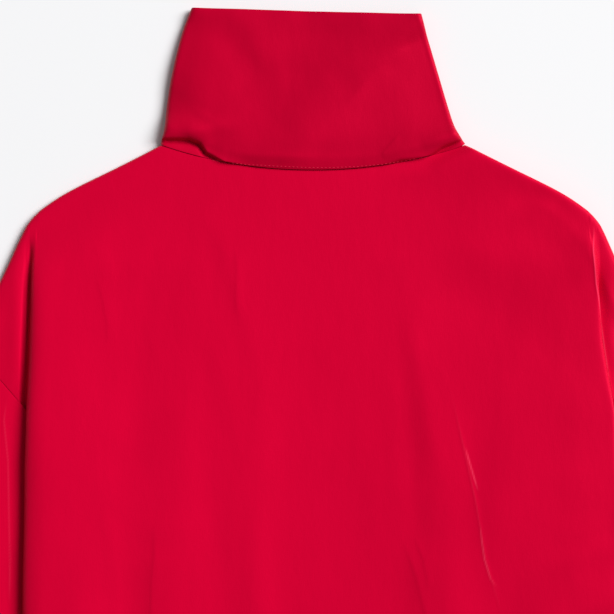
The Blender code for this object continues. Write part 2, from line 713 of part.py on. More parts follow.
# Sleeves
def sleeve_ring(side, ring):
    """One loop of the sleeve: over its top from the inner edge, and back along the surface."""
    values = [read(SLEEVE_RINGS, SLEEVE_COLUMNS, "ring", name, ring) for name in SLEEVE_COLUMNS[1:]]
    outer, inner = (values[0], values[1]), (values[2], values[3])
    out = unit(outer[0] - inner[0], outer[1] - inner[1])
    share = ring / SLEEVE_RINGS[-1][0]
    inset = TIGHT_ROLL + CLOTH / 2
    inner_centre = (inner[0] + inset * out[0], inner[1] + inset * out[1])
    if ring == 0:
        outer_centre, _ = roll_centre(1.0)
    else:
        inset = EDGE_ROLL + CLOTH / 2
        outer_centre = (outer[0] - inset * out[0], outer[1] - inset * out[1])
    points = []
    for n in range(SLEEVE_STEPS + 1):
        x, y = mix_points(inner_centre, outer_centre, n / SLEEVE_STEPS)
        points.append((x, y, sleeve_height(side, x, y, share, inner_centre, outer_centre)))
    for n in range(1, ARC_STEPS + 1):
        angle = math.pi * n / ARC_STEPS
        reach = EDGE_ROLL * math.sin(angle)
        height = FLOOR_LAYER + EDGE_ROLL * (1 + math.cos(angle))
        points.append((outer_centre[0] + reach * out[0], outer_centre[1] + reach * out[1], height))
    for n in range(1, SLEEVE_FLOOR_STEPS + 1):
        x, y = mix_points(outer_centre, inner_centre, n / SLEEVE_FLOOR_STEPS)
        points.append((x, y, FLOOR_LAYER))
    for n in range(1, PRESSED_ARC_STEPS):
        angle = math.pi * (1 - n / PRESSED_ARC_STEPS)
        reach = TIGHT_ROLL * math.sin(angle)
        height = FLOOR_LAYER + TIGHT_ROLL * (1 + math.cos(angle))
        points.append((inner_centre[0] - reach * out[0], inner_centre[1] - reach * out[1], height))
    if ring > 0:
        return points
    turning = set(range(SLEEVE_STEPS, SLEEVE_STEPS + ARC_STEPS + 1))
    turning |= {0} | set(range(len(points) - PRESSED_ARC_STEPS, len(points)))
    apart = [SEAM_GAP + (ROLL_SEAM_ROOM if n in turning else 0.0) for n in range(len(points))]
    return [
        (x + gap * ARMHOLE_ALONG[0], y + gap * ARMHOLE_ALONG[1], z)
        for (x, y, z), gap in zip(points, apart)
    ]


def sleeve_height(side, x, y, share, inner_centre, outer_centre):
    from_inner = math.dist((x, y), inner_centre)
    from_outer = math.dist((x, y), outer_centre)
    flat = arm_top(side, x, y, from_inner)
    outside = abs(x) - fold_half(side, y)
    room = smooth(outside / 0.030) * smooth(from_outer / 0.030) * smooth((from_inner - 0.012) / 0.03)
    across = from_inner / (from_inner + from_outer)
    fold = 0.0
    for row in SLEEVE_FOLDS:
        values = dict(zip(SLEEVE_FOLD_COLUMNS, row))
        off = share - values["along"] - values["slant"] * (across - 0.5)
        fold += values["height"] * math.exp(-((off / values["width"]) ** 2))
    return flat + room * (SLEEVE_CROWN * smooth(share / 0.15) + fold)


def make_sleeve(name, side):
    bm = bmesh.new()
    last = SLEEVE_RINGS[-1][0]
    rows = [sided(sleeve_ring(side, last * n / SLEEVE_ROWS), side) for n in range(SLEEVE_ROWS + 1)]
    add_patch(bm, [row + row[:1] for row in rows])
    return add_wall(finish_mesh(bm, name, RED), CLOTH)


# Collar, a band that runs from one front edge round the back of the neck to the other
def crease(x, wanted):
    return read(COLLAR_CREASE, CREASE_COLUMNS, "x", wanted, x)


def zip_lift(x, y):
    """How far the slider lifts the collar's front and the zip."""
    return ZIP_LIFT * smooth((y - 0.015) / 0.035) * (1 - smooth((abs(x) - 0.010) / 0.035))


def collar_back_height(x, y, up):
    above = y - back_neck_y(x) if abs(x) < NECK_HALF else y - NECK_Y
    base = mix(COLLAR_BASE, COLLAR_BACK, smooth(above / 0.014))
    start = above - crease(x, "above")
    bulge = crease(x, "bulge") * smooth(start / 0.0080) * (1 - 0.80 * smooth((start - 0.006) / 0.035))
    folds = smooth((up - 0.08) / 0.45) * fold_shape(COLLAR_FOLDS, x, y)
    side_fade = smooth((0.112 - abs(x)) / 0.02)
    return base + bulge + side_fade * folds + 1.2 * zip_lift(x, y)


def collar_row(up):
    """One row of the collar, from the left front edge round the back to the right front edge."""
    left_x, left_y, right_x, right_y = (
        read(COLLAR_SIDES, COLLAR_COLUMNS, "up", name, up) for name in COLLAR_COLUMNS[1:]
    )
    (base_x, base_y), _ = roll_centre(0.0)
    turned = 1 - smooth(up / 0.20)
    gap = SEAM_GAP if up == 0 else 0.0
    room = ROLL_SEAM_ROOM if up == 0 else 0.0
    sides = {}
    for side, x, y in ((-1, left_x, left_y), (1, right_x, right_y)):
        out = unit(1.0, turned * NECK_OUT[1] / NECK_OUT[0])
        top = collar_back_height(side * (x - 0.004), y, up)
        inset = COLLAR_CLOTH / 2 + (top - COLLAR_FLOOR) / 2
        start = (NECK_HALF - COLLAR_CLOTH / 2 - EDGE_ROLL, NECK_Y)
        centre = (x - inset + turned * (base_x - start[0]), y + turned * (base_y - start[1]))
        sides[side] = (centre, out, top)

    def front_points(side):
        centre, _, _ = sides[side]
        points = []
        for seam_x, seam_y in front_neck_points():
            part = (seam_x - ZIP_SLOT_HALF) / (base_x - ZIP_SLOT_HALF)
            x = mix(ZIP_SLOT_HALF, centre[0], part)
            top_drop = (COLLAR_TOP_Y - FRONT_COLLAR_TOP_Y) * (1 - part**2)
            y = centre[1] - mix(base_y - seam_y, top_drop, up)
            points.append((side * x, y, COLLAR_FLOOR + zip_lift(x, y)))
        return points

    def roll_points(side):
        """From the surface up to the back layer."""
        centre, out, top = sides[side]
        radius = (top - COLLAR_FLOOR) / 2
        points = []
        for n in range(COLLAR_ARC_STEPS + 1):
            angle = math.pi * (1 - n / COLLAR_ARC_STEPS)
            reach = radius * math.sin(angle)
            clear = gap + room * math.sin(angle)
            x = centre[0] + reach * out[0] - clear * out[1]
            y = centre[1] + reach * out[1] + clear * out[0]
            points.append((side * x, y, COLLAR_FLOOR + radius * (1 + math.cos(angle))))
        return points

    left, right = sides[-1][0], sides[1][0]
    back = []
    for n in range(1, COLLAR_BACK_STEPS):
        part = n / COLLAR_BACK_STEPS
        x = mix(-left[0], right[0], part)
        line = mix(left[1], right[1], part)
        seam_part = mix(-base_x, base_x, part)
        sag = back_neck_y(seam_part) - back_neck_y(base_x)
        y = line + (1 - up) * sag + gap
        back.append((x, y, collar_back_height(x, y, up)))
    return (
        front_points(-1) + roll_points(-1) + back
        + list(reversed(roll_points(1))) + list(reversed(front_points(1)))
    )


def make_collar():
    bm = bmesh.new()
    add_patch(bm, [collar_row(up) for up in COLLAR_LEVELS])
    return add_wall(finish_mesh(bm, "collar", RED), COLLAR_CLOTH)


# Zip tapes, each with the coil along its inner edge
def zip_height(y):
    return mix(TAPE_LOW, TAPE_HIGH, smooth((y - FRONT_NECK_Y + 0.018) / 0.016)) + zip_lift(0.0, y)


def tape_ring(y, coil):
    """Section of the tape at one height: its coil edge and then the flat tape."""
    z = zip_height(y)
    inner = COIL_GAP if coil else COIL_GAP + COIL_HALF
    deep = COIL_DEPTH / 2 if coil else TAPE_CLOTH / 2
    flat = TAPE_CLOTH / 2
    crown = inner + (0.0005 if coil else 0.0002)
    root = inner + (COIL_HALF - 0.0003 if coil else 0.0004)
    half = [(inner, 0.5 * deep), (crown, deep), (root, deep), (root + 0.0006, flat), (TAPE_EDGE, flat)]
    return [(x, y, z - d) for x, d in half] + [(x, y, z + d) for x, d in reversed(half)]


def make_tape(name, side):
    bm = bmesh.new()
    low, high = HEM_Y + 0.012, FRONT_COLLAR_TOP_Y - 0.003
    ys = [low, mix(low, -0.06, 0.33), mix(low, -0.06, 0.66), -0.060, -0.052, -0.046, -0.040]
    ys += [0.000, 0.015, 0.025, 0.033, 0.041, 0.050, 0.060, COIL_END_Y]
    rows = [sided(tape_ring(y, True), side) for y in ys]
    rows += [sided(tape_ring(y, False), side) for y in (COIL_END_Y + 0.0016, high)]
    add_patch(bm, [row + row[:1] for row in rows])
    bmesh.ops.remove_doubles(bm, verts=bm.verts, dist=2e-5)
    bmesh.ops.holes_fill(bm, edges=[e for e in bm.edges if e.is_boundary], sides=0)
    return finish_mesh(bm, name, TAPE_RED)


# Slider, its pull tab and the box at the zip's low end, as blocks of a small grid
def add_blocks(bm, xs, ys, zs, filled):
    """Adds the outer faces of the grid's filled blocks. Each is named by its place in x, y and z."""
    corners = {}

    def corner(i, j, k):
        key = (i, j, k)
        if key not in corners:
            corners[key] = bm.verts.new((xs[i], ys[j], zs[k]))
        return corners[key]

    sides = (
        ((-1, 0, 0), ((0, 0, 0), (0, 0, 1), (0, 1, 1), (0, 1, 0))),
        ((1, 0, 0), ((1, 0, 0), (1, 1, 0), (1, 1, 1), (1, 0, 1))),
        ((0, -1, 0), ((0, 0, 0), (1, 0, 0), (1, 0, 1), (0, 0, 1))),
        ((0, 1, 0), ((0, 1, 0), (0, 1, 1), (1, 1, 1), (1, 1, 0))),
        ((0, 0, -1), ((0, 0, 0), (0, 1, 0), (1, 1, 0), (1, 0, 0))),
        ((0, 0, 1), ((0, 0, 1), (1, 0, 1), (1, 1, 1), (0, 1, 1))),
    )
    for i, j, k in filled:
        for (di, dj, dk), quad in sides:
            if (i + di, j + dj, k + dk) not in filled:
                bm.faces.new([corner(i + a, j + b, k + c) for a, b, c in quad])


def block_range(xs, ys, zs):
    """Blocks from the first to before the last place in each direction."""
    return {(i, j, k) for i in range(*xs) for j in range(*ys) for k in range(*zs)}


def make_slider():
    bm = bmesh.new()
    coil_z = zip_height(SLIDER_Y)
    xs = [-0.0044, -0.0008, 0.0008, 0.0044]
    ys = [SLIDER_Y + y for y in (-0.0055, -0.0034, -0.0026, 0.0022, 0.0030, 0.0055)]
    low = coil_z - COIL_DEPTH / 2 - 0.0002
    high = coil_z + COIL_DEPTH / 2 + 0.0002
    zs = [low - 0.0033, low - 0.0027, low - 0.0008, low, high, high + 0.0007]
    filled = block_range((0, 3), (0, 5), (2, 3)) | block_range((0, 3), (0, 5), (4, 5))
    filled |= block_range((1, 2), (4, 5), (3, 4))
    filled |= block_range((1, 2), (1, 4), (0, 1))
    filled |= block_range((1, 2), (1, 2), (1, 2)) | block_range((1, 2), (3, 4), (1, 2))
    add_blocks(bm, xs, ys, zs, filled)
    obj = finish_mesh(bm, "slider", METAL, 0.3, 1.0)
    obj.data.shade_flat()
    return obj


def make_pull_tab():
    bm = bmesh.new()
    hinge_y = SLIDER_Y + 0.0012
    hinge_z = zip_height(SLIDER_Y) - COIL_DEPTH / 2 - 0.0002 - 0.0008 - 0.00095
    xs = [-0.0030, -0.0014, 0.0014, 0.0030]
    ys = [hinge_y + y for y in (-0.0210, -0.0194, -0.0054, -0.0005, 0.0005)]
    zs = [hinge_z - 0.0005, hinge_z + 0.0005]
    filled = block_range((0, 3), (0, 4), (0, 1)) - {(1, 2, 0)} - {(0, 0, 0), (2, 0, 0)}
    add_blocks(bm, xs, ys, zs, filled)
    obj = finish_mesh(bm, "pull_tab", METAL, 0.3, 1.0)
    obj.data.shade_flat()
    hinge = Vector((0, hinge_y + ORIGIN_Y, hinge_z))
    obj.data.transform(Matrix.Translation(-hinge))
    obj.location = hinge
    return obj


def make_zip_box():
    bm = bmesh.new()
    y = HEM_Y + 0.012 - SEAM_GAP
    z = zip_height(y)
    xs = [-0.0048, 0.0048]
    add_blocks(bm, xs, [y - 0.0090, y], [z - 0.0015, z + 0.0015], {(0, 0, 0)})
    obj = finish_mesh(bm, "zip_box", TAPE_RED)
    obj.data.shade_flat()
    return obj


def clear_scene():
    for obj in list(bpy.data.objects):
        bpy.data.objects.remove(obj)


def main():
    clear_scene()
    make_back()
    make_front("front_left", -1)
    make_front("front_right", 1)
    make_sleeve("sleeve_left", -1)
    make_sleeve("sleeve_right", 1)
    make_collar()
    make_tape("zip_tape_left", -1)
    make_tape("zip_tape_right", 1)
    make_slider()
    make_pull_tab()
    make_zip_box()


main()
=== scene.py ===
# %% [markdown]
# # A red nylon jacket, laid flat on its front
# The jacket lies on a white floor with its back up and its tall collar pressed flat. Its solids
# already stand in the frame: walls of cloth, each with the garment's shape and largest folds. This
# lesson turns them into cloth that looks sewn and worn: it rounds every wall, presses creases into
# it, stitches the seams, builds the zip and finishes each surface with a material made of nodes.

# %% Open the frame
import math

import bmesh
import bpy
import numpy as np
from mathutils import Matrix, Vector
from mathutils.bvhtree import BVHTree


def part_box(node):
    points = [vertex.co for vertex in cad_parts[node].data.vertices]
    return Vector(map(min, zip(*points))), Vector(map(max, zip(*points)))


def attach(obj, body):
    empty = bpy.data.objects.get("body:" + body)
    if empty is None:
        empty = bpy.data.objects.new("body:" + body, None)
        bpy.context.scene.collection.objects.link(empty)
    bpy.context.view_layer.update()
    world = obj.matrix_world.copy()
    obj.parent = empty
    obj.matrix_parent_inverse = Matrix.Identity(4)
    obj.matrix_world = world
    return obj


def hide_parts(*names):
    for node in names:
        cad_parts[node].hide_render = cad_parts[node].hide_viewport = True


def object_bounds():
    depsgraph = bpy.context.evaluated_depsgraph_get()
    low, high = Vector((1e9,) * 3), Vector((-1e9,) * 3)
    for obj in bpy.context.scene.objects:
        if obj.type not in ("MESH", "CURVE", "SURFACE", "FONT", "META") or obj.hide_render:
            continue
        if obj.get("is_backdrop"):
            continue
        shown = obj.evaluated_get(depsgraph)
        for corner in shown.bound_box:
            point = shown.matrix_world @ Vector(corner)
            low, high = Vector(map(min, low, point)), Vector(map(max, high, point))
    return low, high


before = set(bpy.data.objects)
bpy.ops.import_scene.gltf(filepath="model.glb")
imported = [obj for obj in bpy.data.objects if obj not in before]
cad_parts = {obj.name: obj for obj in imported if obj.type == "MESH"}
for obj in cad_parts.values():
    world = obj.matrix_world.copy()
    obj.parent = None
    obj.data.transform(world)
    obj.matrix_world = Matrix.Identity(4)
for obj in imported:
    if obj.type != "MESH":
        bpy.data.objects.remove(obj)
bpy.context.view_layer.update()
print("nodes:", ", ".join(sorted(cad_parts)))

# %% [markdown]
# ## Where things are
# Creases, seams and stitches are placed from the nape, the middle of the back neck seam, as a
# tailor would. The nape's place follows from the hem, which is the lowest edge of the back, and
# from the back's length. Their tables are in millimetres, x to the right and y up from the nape, as
# they are read off the cloth.

# %% Measures of the jacket
MM = 0.001
BACK_LENGTH = 0.640
CLOTH_WALL = 2.0            # millimetres
COLLAR_WALL = 3.0
NAPE_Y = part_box("back")[0].y + BACK_LENGTH
BODY = "jacket"
TAB_BODY = "pull_tab"
print(f"the nape is at y = {NAPE_Y:.4f} m")

# %% [markdown]
# ## Shader maths as Python sums
# A material's pattern is a chain of Math nodes. Built by hand, a chain hides its own formula. The
# Wire class wraps a socket, so that an ordinary sum or product adds the node and links it. Finish
# holds a material and has one method for every other node.

# %% A socket that can be added and multiplied


class Wire:
    """A shader socket that sums, differences and products can be written with."""

    def __init__(self, finish, socket):
        self.finish = finish
        self.socket = socket

    def math(self, operation, *values):
        return self.finish.add("ShaderNodeMath", {"operation": operation}, dict(enumerate(values)))

    def __add__(self, other):
        return self.math("ADD", self, other)

    def __sub__(self, other):
        return self.math("SUBTRACT", self, other)

    def __rsub__(self, other):
        return self.math("SUBTRACT", other, self)

    def __mul__(self, other):
        return self.math("MULTIPLY", self, other)

    def sine(self):
        return self.math("SINE", self)

    def clipped(self):
        return self.math("MAXIMUM", self.math("MINIMUM", self, 1.0), 0.0)

    __radd__ = __add__
    __rmul__ = __mul__


class Finish:
    """A material that is built up node by node around one Principled BSDF."""

    def __init__(self, name, colour, roughness, **fixed):
        self.material = bpy.data.materials.new(name)
        self.material.use_nodes = True
        self.tree = self.material.node_tree
        self.shader = self.tree.nodes["Principled BSDF"]
        self.shader.inputs["Base Color"].default_value = (*colour, 1.0)
        self.shader.inputs["Roughness"].default_value = roughness
        self.material.diffuse_color = (*colour, 1.0)
        for name, value in fixed.items():
            self.shader.inputs[name.replace("_", " ")].default_value = value

    def add(self, kind, settings=None, values=None, output=0):
        """Adds a node, makes its settings, feeds its inputs and returns one output as a Wire."""
        node = self.tree.nodes.new(kind)
        for name, value in (settings or {}).items():
            setattr(node, name, value)
        for name, value in (values or {}).items():
            self.feed(node.inputs[name], value)
        return Wire(self, node.outputs[output])

    def feed(self, socket, value):
        if isinstance(value, Wire):
            self.tree.links.new(value.socket, socket)
        else:
            socket.default_value = value

    def set(self, name, value):
        self.feed(self.shader.inputs[name], value)

    def place(self):
        """Object coordinates, in metres from the jacket's middle."""
        return self.add("ShaderNodeTexCoord", output="Object")

    def axis(self, letter):
        """One object coordinate, in metres."""
        return self.add("ShaderNodeSeparateXYZ", values={"Vector": self.place()}, output=letter)

    def stretched(self, scale):
        """Object coordinates, multiplied along each axis."""
        return self.add("ShaderNodeMapping", values={"Vector": self.place(), "Scale": scale})

    def noise(self, vector, scale, detail=2.0, roughness=0.5):
        values = {"Vector": vector, "Scale": scale, "Detail": detail, "Roughness": roughness}
        return self.add("ShaderNodeTexNoise", values=values)

    def blend(self, factor, first, second):
        """Mixes two colours. They are inputs 6 and 7 of a Mix node, and their mix is output 2."""
        settings = {"data_type": "RGBA"}
        values = {0: factor, 6: first, 7: second}
        return self.add("ShaderNodeMix", settings, values, output=2)

    def bump(self, height, distance, strength=1.0):
        values = {"Height": height, "Distance": distance, "Strength": strength}
        self.set("Normal", self.add("ShaderNodeBump", values=values))


print("a Wire can be added, subtracted and multiplied, on either side of a number")

# %% [markdown]
# ## Nylon
# The real cloth is a fine, closely woven nylon, dyed a strong cool red, with a satin sheen and no
# sparkle. It could be one red with a gloss value, but real nylon is never so even. The dye takes a
# little unevenly and the threads run along the piece. A hard crease gets a pale painted highlight
# along its top, and an attribute on the mesh says where such a crease runs. The sheen is tinted red,
# because light that leaves satin nylon has passed through its dyed threads. The collar's red is
# painted a little darker than the body's, as painted shade.

# %% The nylon materials
RED = (0.608, 0.0005, 0.0300)
DEEP_RED = (0.555, 0.0003, 0.0258)
# Painted highlight: the pale red that is drawn along the top of a hard crease.
PAINTED_HIGHLIGHT_RED = (0.840, 0.040, 0.110)
SHEEN_RED = (1.0, 0.004, 0.07)
NYLON_ROUGHNESS = 0.48
ROUGHNESS_SWING = 0.08      # a thread's top is smoother than the gap beside it
SHEEN = 0.7
# Painted shade: the collar's red is made darker than the body's, as a share of it.
COLLAR_PAINTED_SHADE = 0.82         # the collar's red, as a share of the body's
CLOUD_SCALE = 22.0          # patches of slightly deeper dye, about 45 mm across
THREAD_SCALE = 2300.0       # threads a little under half a millimetre apart
THREAD_STRETCH = 0.12       # each thread is drawn out along its run
CRINKLE_SCALE = 95.0        # tiny crinkles about 10 mm apart
CRINKLE_STRETCH = 0.45      # they run down the piece
CLOUD_SHARE = 0.6           # what each pattern adds to the depth of the dye
THREAD_SHARE = 0.25
CRINKLE_SHARE = 0.15
WEAVE_DEPTH = 0.05          # millimetres
CRINKLE_DEPTH = 0.22


def nylon_finish(name, painted_shade_share=1.0):
    """Nylon whose red is a share of the body's; a share below one is painted shade."""
    red = tuple(part * painted_shade_share for part in RED)
    deep = tuple(part * painted_shade_share for part in DEEP_RED)
    finish = Finish(
        name,
        red,
        NYLON_ROUGHNESS,
        Specular_IOR_Level=SHEEN,
        Specular_Tint=(*SHEEN_RED, 1.0),
    )
    cloud = finish.noise(finish.place(), CLOUD_SCALE, detail=3.0)
    along = finish.noise(finish.stretched((1.0, THREAD_STRETCH, 1.0)), THREAD_SCALE, detail=1.0)
    across = finish.noise(finish.stretched((THREAD_STRETCH, 1.0, 1.0)), THREAD_SCALE, detail=1.0)
    down = finish.stretched((1.0, CRINKLE_STRETCH, 1.0))
    crinkles = finish.noise(down, CRINKLE_SCALE, detail=4.0, roughness=0.55)
    # The attribute read here marks where a pale painted highlight runs along a hard crease.
    painted_highlight = finish.add("ShaderNodeAttribute", {"attribute_name": "painted_highlight"}, output="Fac")
    depth = (cloud * CLOUD_SHARE + along * THREAD_SHARE + crinkles * CRINKLE_SHARE).clipped()
    dyed = finish.blend(depth, (*deep, 1.0), (*red, 1.0))
    finish.set("Base Color", finish.blend(painted_highlight.clipped(), dyed, (*PAINTED_HIGHLIGHT_RED, 1.0)))
    finish.set("Roughness", NYLON_ROUGHNESS - ROUGHNESS_SWING / 2 + ROUGHNESS_SWING * along)
    finish.bump((along + across) * WEAVE_DEPTH + crinkles * CRINKLE_DEPTH, MM)
    return finish.material


nylon = nylon_finish("nylon")
# The collar's nylon is a copy of the body's, darkened as painted shade.
shaded_collar_nylon = nylon_finish("shaded_collar_nylon", COLLAR_PAINTED_SHADE)
print("nylon has", len(nylon.node_tree.nodes), "nodes")

# %% [markdown]
# ## Thread, tape, plastic and metal
# The seams are sewn with a thread a shade lighter than the cloth, so that each stitch shows as a
# small pale dash. The zip's tape is a ribbed ribbon, its coil a smooth plastic wire, and its slider
# is plated metal. Each could be a plain colour. A little noise in colour and roughness keeps them
# from looking like paint.

# %% The small materials
THREAD_PINK = (0.70, 0.012, 0.060)
THREAD_SHADE = (0.60, 0.006, 0.040)
TAPE_RED = (0.42, 0.004, 0.022)
TAPE_SHADE = (0.33, 0.003, 0.017)
COIL_RED = (0.50, 0.006, 0.030)
COIL_SHADE = (0.44, 0.005, 0.026)
STEEL = (0.55, 0.56, 0.58)
STEEL_SHADE = (0.48, 0.49, 0.51)
TWIST_SCALE, TWIST_DEPTH = 2600.0, 0.1
RIB_PITCH, RIB_DEPTH = 0.8 * MM, 0.10
MOTTLE_SCALE, MOTTLE_DEPTH = 900.0, 0.02
BRUSH_SCALE, BRUSH_STRETCH, BRUSH_DEPTH = 5200.0, 0.05, 0.01
PLASTIC_SMOOTHEST, PLASTIC_SWING = 0.30, 0.18
METAL_SMOOTHEST, METAL_SWING = 0.24, 0.20


def thread_finish():
    finish = Finish("sewing_thread", THREAD_PINK, roughness=0.55, Specular_IOR_Level=0.2)
    twist = finish.noise(finish.place(), TWIST_SCALE, detail=2.0)
    finish.set("Base Color", finish.blend(twist, (*THREAD_SHADE, 1.0), (*THREAD_PINK, 1.0)))
    finish.bump(twist * TWIST_DEPTH, MM)
    return finish.material


def tape_finish():
    """Ribs across the tape, crossed by finer threads along it."""
    finish = Finish("woven_tape", TAPE_RED, roughness=0.7, Specular_IOR_Level=0.25)
    ribs = (finish.axis("Y") * (2 * math.pi / RIB_PITCH)).sine()
    threads = (finish.axis("X") * (2 * math.pi / (0.5 * RIB_PITCH))).sine()
    weave = (ribs * threads) * 0.5 + 0.5
    finish.set("Base Color", finish.blend(weave, (*TAPE_SHADE, 1.0), (*TAPE_RED, 1.0)))
    finish.bump(weave * RIB_DEPTH, MM)
    return finish.material


def plastic_finish():
    finish = Finish("zip_plastic", COIL_RED, roughness=0.38, Specular_IOR_Level=0.5)
    mottle = finish.noise(finish.place(), MOTTLE_SCALE, detail=3.0)
    finish.set("Roughness", PLASTIC_SMOOTHEST + PLASTIC_SWING * mottle)
    finish.set("Base Color", finish.blend(mottle, (*COIL_SHADE, 1.0), (*COIL_RED, 1.0)))
    finish.bump(mottle * MOTTLE_DEPTH, MM)
    return finish.material


def metal_finish():
    finish = Finish("plated_metal", STEEL, roughness=0.32, Metallic=1.0)
    brushed = finish.noise(finish.stretched((1.0, BRUSH_STRETCH, 1.0)), BRUSH_SCALE, detail=3.0)
    finish.set("Roughness", METAL_SMOOTHEST + METAL_SWING * brushed)
    finish.set("Base Color", finish.blend(brushed, (*STEEL_SHADE, 1.0), (*STEEL, 1.0)))
    finish.bump(brushed * BRUSH_DEPTH, MM)
    return finish.material


thread, woven_tape = thread_finish(), tape_finish()
zip_plastic, plated_metal = plastic_finish(), metal_finish()
print("finishes:", ", ".join(material.name for material in bpy.data.materials))

# %% [markdown]
# ## From a coarse wall to a rounded one
# A panel could be drawn again as a fine grid and laid over its solid. It is simpler to start from
# the solid itself, because it already holds the panel's cut and folds. Its loose triangles are
# merged, then paired back into the quads that subdivision likes. A small bevel keeps each cut edge
# crisp, and two rounds of subdivision turn the facets into soft cloth.

# %% Round a copy of a wall
CUT_EDGE_ANGLE = math.radians(62)
CUT_EDGE_ROUND = 0.35 * MM
ROUNDS = 2                  # of subdivision
WELD = 0.001 * MM


def merged(node):
    """A copy of a node's mesh with its loose triangles merged."""
    bm = bmesh.new()
    bm.from_mesh(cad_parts[node].data)
    bmesh.ops.remove_doubles(bm, verts=bm.verts, dist=WELD)
    return bm


def bevel_sharp(bm, angle, offset, segments=2):
    """Rounds every edge that is sharper than an angle."""
    sharp = [edge for edge in bm.edges if edge.calc_face_angle(0.0) > angle]
    bmesh.ops.bevel(
        bm,
        geom=sharp,
        offset=offset,
        segments=segments,
        profile=0.5,
        affect="EDGES",
        clamp_overlap=True,
        material=-1,
    )


def quads_of(node):
    """The node's solid as a mesh of quads, with its cut edges bevelled."""
    bm = merged(node)
    bmesh.ops.join_triangles(
        bm,
        faces=bm.faces,
        angle_face_threshold=math.pi,
        angle_shape_threshold=math.pi,
        topology_influence=2.0,
    )
    bevel_sharp(bm, CUT_EDGE_ANGLE, CUT_EDGE_ROUND)
    return bm


def new_piece(name, bm, material, smooth_shaded=True):
    """Puts a finished mesh in the scene as a piece."""
    mesh = bpy.data.meshes.new(name)
    bm.to_mesh(mesh)
    bm.free()
    if smooth_shaded:
        mesh.shade_smooth()
    mesh.materials.append(material)
    piece = bpy.data.objects.new(name, mesh)
    bpy.context.scene.collection.objects.link(piece)
    return piece


def put_on(piece, body, slot_name, *nodes):
    """Lets a piece ride on a body and stand for nodes; its slot name is not used."""
    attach(piece, body)
    if nodes:
        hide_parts(*nodes)
    print(piece.name, "has", len(piece.data.polygons), "faces")


def subdivided(bm):
    """The mesh after rounds of Catmull-Clark subdivision."""
    piece = new_piece("form", bm, nylon)
    rounding = piece.modifiers.new("rounding", "SUBSURF")
    rounding.levels = ROUNDS
    rounding.render_levels = ROUNDS
    finer = bmesh.new()
    finer.from_object(piece, bpy.context.evaluated_depsgraph_get())
    coarse = piece.data
    bpy.data.objects.remove(piece)
    bpy.data.meshes.remove(coarse)
    return finer


print("cut edges are rounded by", CUT_EDGE_ROUND / MM, "mm")

# %% [markdown]
# ## Soft folds
# Cloth that has hung and been carried keeps long soft folds. A simulation could make some, but not
# these, so each is pressed in by its own row of a table. A row has the fold's top and low end, how
# far it bows sideways, how far it spreads to either side, and its height, which is negative for a
# trough. The two sides differ, so a fold can be steep on one. The rows of the back and the collar
# were placed, then fitted until the shading of their sum came close to the photograph's. That is
# why their numbers are so uneven.

# %% Shape of a soft fold
FOLD_COLUMNS = ("top_x", "top_y", "low_x", "low_y", "bow", "left", "right", "height")
FADE = 0.22                 # share of a fold's length over which it rises and dies away


def rows_of(columns, table):
    """A table's rows with their columns named."""
    return [dict(zip(columns, row)) for row in table]


def eased(share):
    """Makes an even rise from 0 to 1 start and end gently."""
    return share * share * (3 - 2 * share)


def ramp(share, fade):
    """Rises from 0 at both ends of a line to 1 in between, as arrays."""
    return eased(np.clip(np.minimum(share, 1 - share) / fade, 0, 1))


def fold_height(fold, x, y):
    """Heights of one fold at many places, all in millimetres."""
    dx, dy = fold["low_x"] - fold["top_x"], fold["low_y"] - fold["top_y"]
    length = math.hypot(dx, dy)
    down = ((x - fold["top_x"]) * dx + (y - fold["top_y"]) * dy) / length**2
    aside = ((x - fold["top_x"]) * -dy + (y - fold["top_y"]) * dx) / length
    aside -= 4 * fold["bow"] * down * (1 - down)
    spread = np.where(aside < 0, fold["left"], fold["right"])
    return fold["height"] * ramp(down, FADE) * np.exp(-((aside / spread) ** 2))


def soft_height(table, x, y):
    """Heights of all the folds of a table together."""
    return sum(fold_height(fold, x, y) for fold in rows_of(FOLD_COLUMNS, table))


print("a fold has", ", ".join(FOLD_COLUMNS))

# %% [markdown]
# ## Hard creases
# A few creases are so sharp that they show as a line. Each follows a bent line of points. Its row
# says how far it spreads to the left and the right of that line, its height, how pale the painted
# highlight on its top is, and over what share of its length it fades at both ends. A crease that is
# far wider on one side than on the other is a step, as where one layer rolls over another.

# %% Shape of a hard crease
CREASE_COLUMNS = ("left", "right", "height", "painted_highlight", "fade", "points")
# The painted highlight of a crease reaches this far to either side of its line.
PAINTED_HIGHLIGHT_WIDTH = 0.55           # millimetres to either side of the line
FAR_AWAY = 10000.0


def beside_line(points, x, y):
    """How far places are to the right of a bent line, and the share of it that is passed there."""
    aside, at, passed = np.full(len(x), FAR_AWAY), np.zeros(len(x)), 0.0
    for (start_x, start_y), (end_x, end_y) in zip(points, points[1:]):
        dx, dy = end_x - start_x, end_y - start_y
        length = math.hypot(dx, dy)
        share = np.clip(((x - start_x) * dx + (y - start_y) * dy) / length**2, 0, 1)
        off_x, off_y = x - start_x - dx * share, y - start_y - dy * share
        away = np.copysign(np.hypot(off_x, off_y), off_y * dx - off_x * dy)
        closer = np.abs(away) < np.abs(aside)
        aside = np.where(closer, away, aside)
        at = np.where(closer, passed + length * share, at)
        passed += length
    return aside, at / passed


def crease_at(crease, x, y):
    """Heights of one crease at many places, in millimetres, and how strongly its painted highlight
    shows there.
    """
    aside, down = beside_line(crease["points"], x, y)
    spread = np.where(aside < 0, crease["left"], crease["right"])
    ends = ramp(down, crease["fade"])
    rise = crease["height"] * ends * np.exp(-((aside / spread) ** 2))
    return rise, crease["painted_highlight"] * ends * np.exp(-((aside / PAINTED_HIGHLIGHT_WIDTH) ** 2))


print("a crease has", ", ".join(CREASE_COLUMNS))

